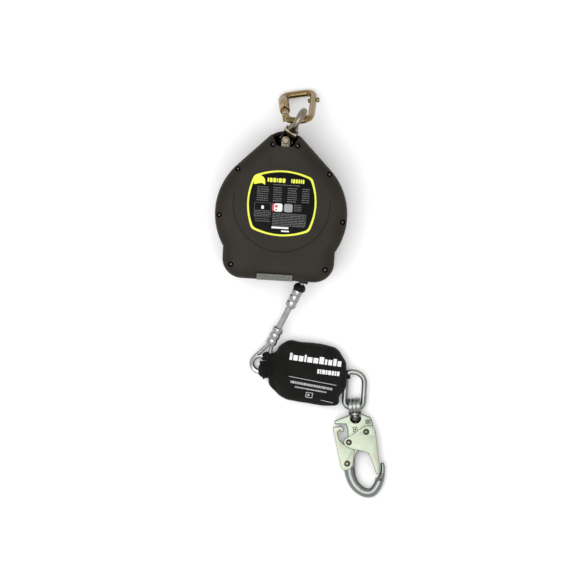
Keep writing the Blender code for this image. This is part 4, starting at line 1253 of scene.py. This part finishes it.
LINK_ROD = 4.0
GATE_PIVOT, GATE_RIVET, LEVER_PIVOT = (27.2, 13.2), (39.7, -13.0), (69.7, -18.1)
BOW_ROD = 7.5
HOOK_HALF, SHEET_EDGE = 6.2, 0.78  # half the hook plate's thickness, and the round on a sheet's edge


def link_ring():
    """A forged ring of round bar, its far corner wider than the others."""
    bar = joint("link_flip")[0]
    half_x, half_y = 13.5, 25.3
    middle = bar + Vector((half_x, -7.6, -0.9))
    rise = radians(7.0)
    up = Vector((0, cos(rise), sin(rise)))
    corners_of = [(1, 1, 16.0, 0), (-1, 1, 8.5, 90), (-1, -1, 8.5, 180), (1, -1, 8.5, 270)]
    outline = []
    for side, end, corner, start in corners_of:
        centre = (side * (half_x - corner), end * (half_y - corner))
        outline += arc(centre, corner, start, start + 90, 9)
    path = [middle + Vector((x, 0, 0)) + up * y for x, y in outline]
    ring = sweep(path, LINK_ROD, 28, closed=True, up=Vector((1, 0, 0)).cross(up))
    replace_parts(piece("link_bar", ring, FORGED, "link"), "link_ring")


def hook_points(pairs):
    """Points given as (along the hook, to its right), in the hook's own axes."""
    return [(right, -along) for along, right in pairs]


def around(centre, radius, start, end, steps):
    return arc(hook_points([centre])[0], radius, start, end, steps)


def swivel():
    where = hook_place()
    barrel = [(6.7, 8.8), (10.8, 8.8), (11.8, 7.8), (11.8, 3.4), (11.2, 2.9), (11.2, 2.3), (11.8, 1.8)]
    barrel += [(r, -h) for r, h in reversed(barrel)]
    ring = moved(revolve(rounded(barrel, 0.45), 64, "X"), Matrix.Translation((0, 10.5, 0)))
    made = piece("bail_ring", ring, FORGED, "bail", where)
    stem = [(0, 1.8), (5.4, 1.8), (7.2, 0.7), (7.2, -2.3), (5.5, -3.0), (5.5, -4.6)]
    stem += [(6.6, -5.2), (6.6, -6.2), (3.5, -6.4), (3.5, -19.5), (0, -19.5)]
    carve(made, [revolve(rounded(stem, 0.5, closed=False), 48, "Y")], "UNION", where)
    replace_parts(made, "hook_swivel")
    dome = [radians(a) for a in range(0, 61, 10)]
    seat = [(3.6, -5.9), (7.4, -5.9), (7.9, -6.8)]
    seat += [(7.9 * cos(a), -7.2 - 6.6 * sin(a)) for a in dome] + [(3.6, -13.2)]
    piece("bail_seat", revolve(rounded(seat, 0.5), 48, "Y"), DARK, "bail", where)


def shade_plate_edges(made):
    """Gives the sheared edges of a plate, and their broken corners, a darker plating than its faces:
    painted shade that outlines the plate.
    """
    face_way = (hook_place().to_3x3() @ Vector((0, 0, 1))).normalized()
    made.data.materials.append(EDGE_SHADE)
    for face in made.data.polygons:
        if abs(face.normal.dot(face_way)) < 0.93:
            face.material_index = len(made.data.materials) - 1


def head_and_bow():
    where = hook_place()
    rows = [(1.6, -9.6), (1.6, 9.6), (7, 21.3), (16, 24), (27, 23), (36, 19), (46, 9), (56, -3), (64, -7)]
    spine = [(76, -8.5), (76, -21), (56, -19), (47, -16.5), (43.6, -11.5)]
    edge = around(GATE_PIVOT, 26.4, 205, 168, 16)
    brow = [(13.5, -14.5), (12.0, -30.5), (7.4, -30.2)]
    outline = hook_points(rows + spine) + edge + hook_points(brow)
    made = piece("hook_plate", plate([outline], -HOOK_HALF, HOOK_HALF, 1.5), PALE, "hook", where)
    seat = plate([rectangle(8.3, 9.2, 8.2, 10, (0, -5.2))], -9, 9, 0.1)
    carve(made, [seat, rod_between((0, -24, 0), (0, -8, 0), 3.9)], where=where)
    # painted shade along the plate's outline
    shade_plate_edges(made)
    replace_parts(made, "hook_body")

    line = [(64, -14.0), (79, -15.4), (91, -14.2), (101.4, -10.0), (109.4, -3.0), (113.8, 5), (113.6, 13.4)]
    line += [(107.0, 20.6), (98.9, 25.4), (93.5, 28.3), (88.0, 30.7), (81.5, 31.9), (74.5, 31.7)]
    radii = [1.05, 1.05, 1.0, 0.96, 0.93, 0.92, 0.90, 0.88, 0.84, 0.66, 0.46, 0.42, 0.36]

    def size(t):
        at = t * (len(radii) - 1)
        i = min(int(at), len(radii) - 2)
        return radii[i] + (radii[i + 1] - radii[i]) * (at - i)

    path = smooth_path([(x, y, 0) for x, y in hook_points(line)], 6)
    piece("hook_bow", sweep(path, BOW_ROD, 32, up=(0, 0, 1), scale=size), FORGED, "hook", where)
    # a dark block in the gap between the gate's tip and the bow's nose: painted shadow of that gap
    catch = plate([rectangle(4.7, 1.9, 0.6, 2)], -HOOK_HALF, 6.6, 0.3)
    spot = Matrix.Translation((24.2, -96.6, 0)) @ Matrix.Rotation(radians(-8), 4, "Z")
    piece("nose_gap_shadow", moved(catch, spot), DARK, "hook", where)
    frames = []
    for (along, right), half_x, half_y in (((13.1, 17.1), 3.4, 2.6), ((22.4, -2.1), 3.2, 3.8)):
        at = hook_points([(along, right)])[0]
        outer = rectangle(half_x, half_y, 0.5, 2, at)
        inner = rectangle(half_x - 1.0, half_y - 1.0, 0.3, 2, at)
        dot = rectangle(half_x * 0.35, half_y * 0.35, 0.2, 2, at)
        frames += [plate(stamp, HOOK_HALF, 6.35, 0.03) for stamp in ([outer, inner], [dot])]
    piece("hook_stamps", joined(*frames), BLACK, "hook", where)


def channel(name, node, body, outline, holes, near, far, web):
    """Two equal plates, one each side of the hook, joined by a web along their outer edge."""
    where = hook_place()
    back, front = both([outline] + holes, near, far, SHEET_EDGE)
    made = piece(name, front, PALE, body, where)
    middle = (near + far) / 2
    carve(made, [plate([web], -middle, middle, 0.2), back], "UNION", where)
    # painted shade along the plates' outlines
    shade_plate_edges(made)
    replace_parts(made, node)


def gate():
    edge = [(18.2, 14), (19.4, 22.5), (24, 26.2), (34, 26.9), (74.4, 27.5), (88.4, 26.6)]
    edge += [(88.6, 21.6), (70, 17.6), (57.5, 13.6), (54.3, 7), (51.5, -5), (47.5, -14.5)]
    outline = hook_points(edge) + around(GATE_RIVET, 7.0, -110, -230, 12)
    outline += hook_points([(28.5, -6), (23.5, 3)])
    holes = [circle(hook_points([GATE_PIVOT])[0], 2.9), circle(hook_points([GATE_RIVET])[0], 2.3)]
    web = hook_points([(42, 24.6), (42, 26.6), (74.4, 27.1), (86, 26.4), (86, 24.4), (74, 25.1)])
    channel("gate_plates", "hook_gate", "hook_gate_body", outline, holes, 8.6, 10.2, web)


def lever():
    edge = [(16.6, -33.5), (16.2, -21), (21, -17.8), (24.5, -19.5), (20.5, -24), (24, -28)]
    edge += [(34, -27), (41, -21.5), (45, -15.8), (46.5, -7), (53.3, -5.8), (72, -9.8)]
    edge += [(78.2, -14.5), (79.5, -20), (78, -25), (74.9, -27.4)]
    web = hook_points([(17.2, -33.2), (17.2, -31.4), (74, -25.6), (74, -27.2)])
    hole = circle(hook_points([LEVER_PIVOT])[0], 2.9)
    channel("lever_plates", "lock_lever", "lever", hook_points(edge), [hole], 6.8, 8.3, web)


def rivet(name, node, body, spot, shank, cap):
    """A domed dark head with a lighter, upset centre, on both sides."""
    x, y = hook_points([spot])[0]
    where = hook_place() @ Matrix.Translation((x, y, 0))
    side = [(1.7, cap + 1.3), (1.9, cap + 1.6), (3.1, cap + 1.4)]
    side += [(4.3, cap + 0.5), (4.4, cap), (shank, cap)]
    profile = [(0, cap + 1.25)] + side + [(r, -z) for r, z in reversed(side)] + [(0, -cap - 1.25)]
    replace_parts(piece(name, revolve(profile, 40), DARK, body, where), node)
    ends = both([circle((0, 0), 1.6)], cap + 1.2, cap + 1.45, 0.08)
    for face, end in zip(("back", "front"), ends):
        piece(f"{name}_end_{face}", end, ZINC, body, where)


link_ring()
swivel()
head_and_bow()
gate()
lever()
rivet("gate_stud", "gate_rivet", "hook", GATE_PIVOT, 2.6, 10.5)
rivet("catch_stud", "catch_rivet", "hook_gate_body", GATE_RIVET, 2.0, 10.5)
rivet("lever_stud", "lever_rivet", "hook", LEVER_PIVOT, 2.6, 8.6)
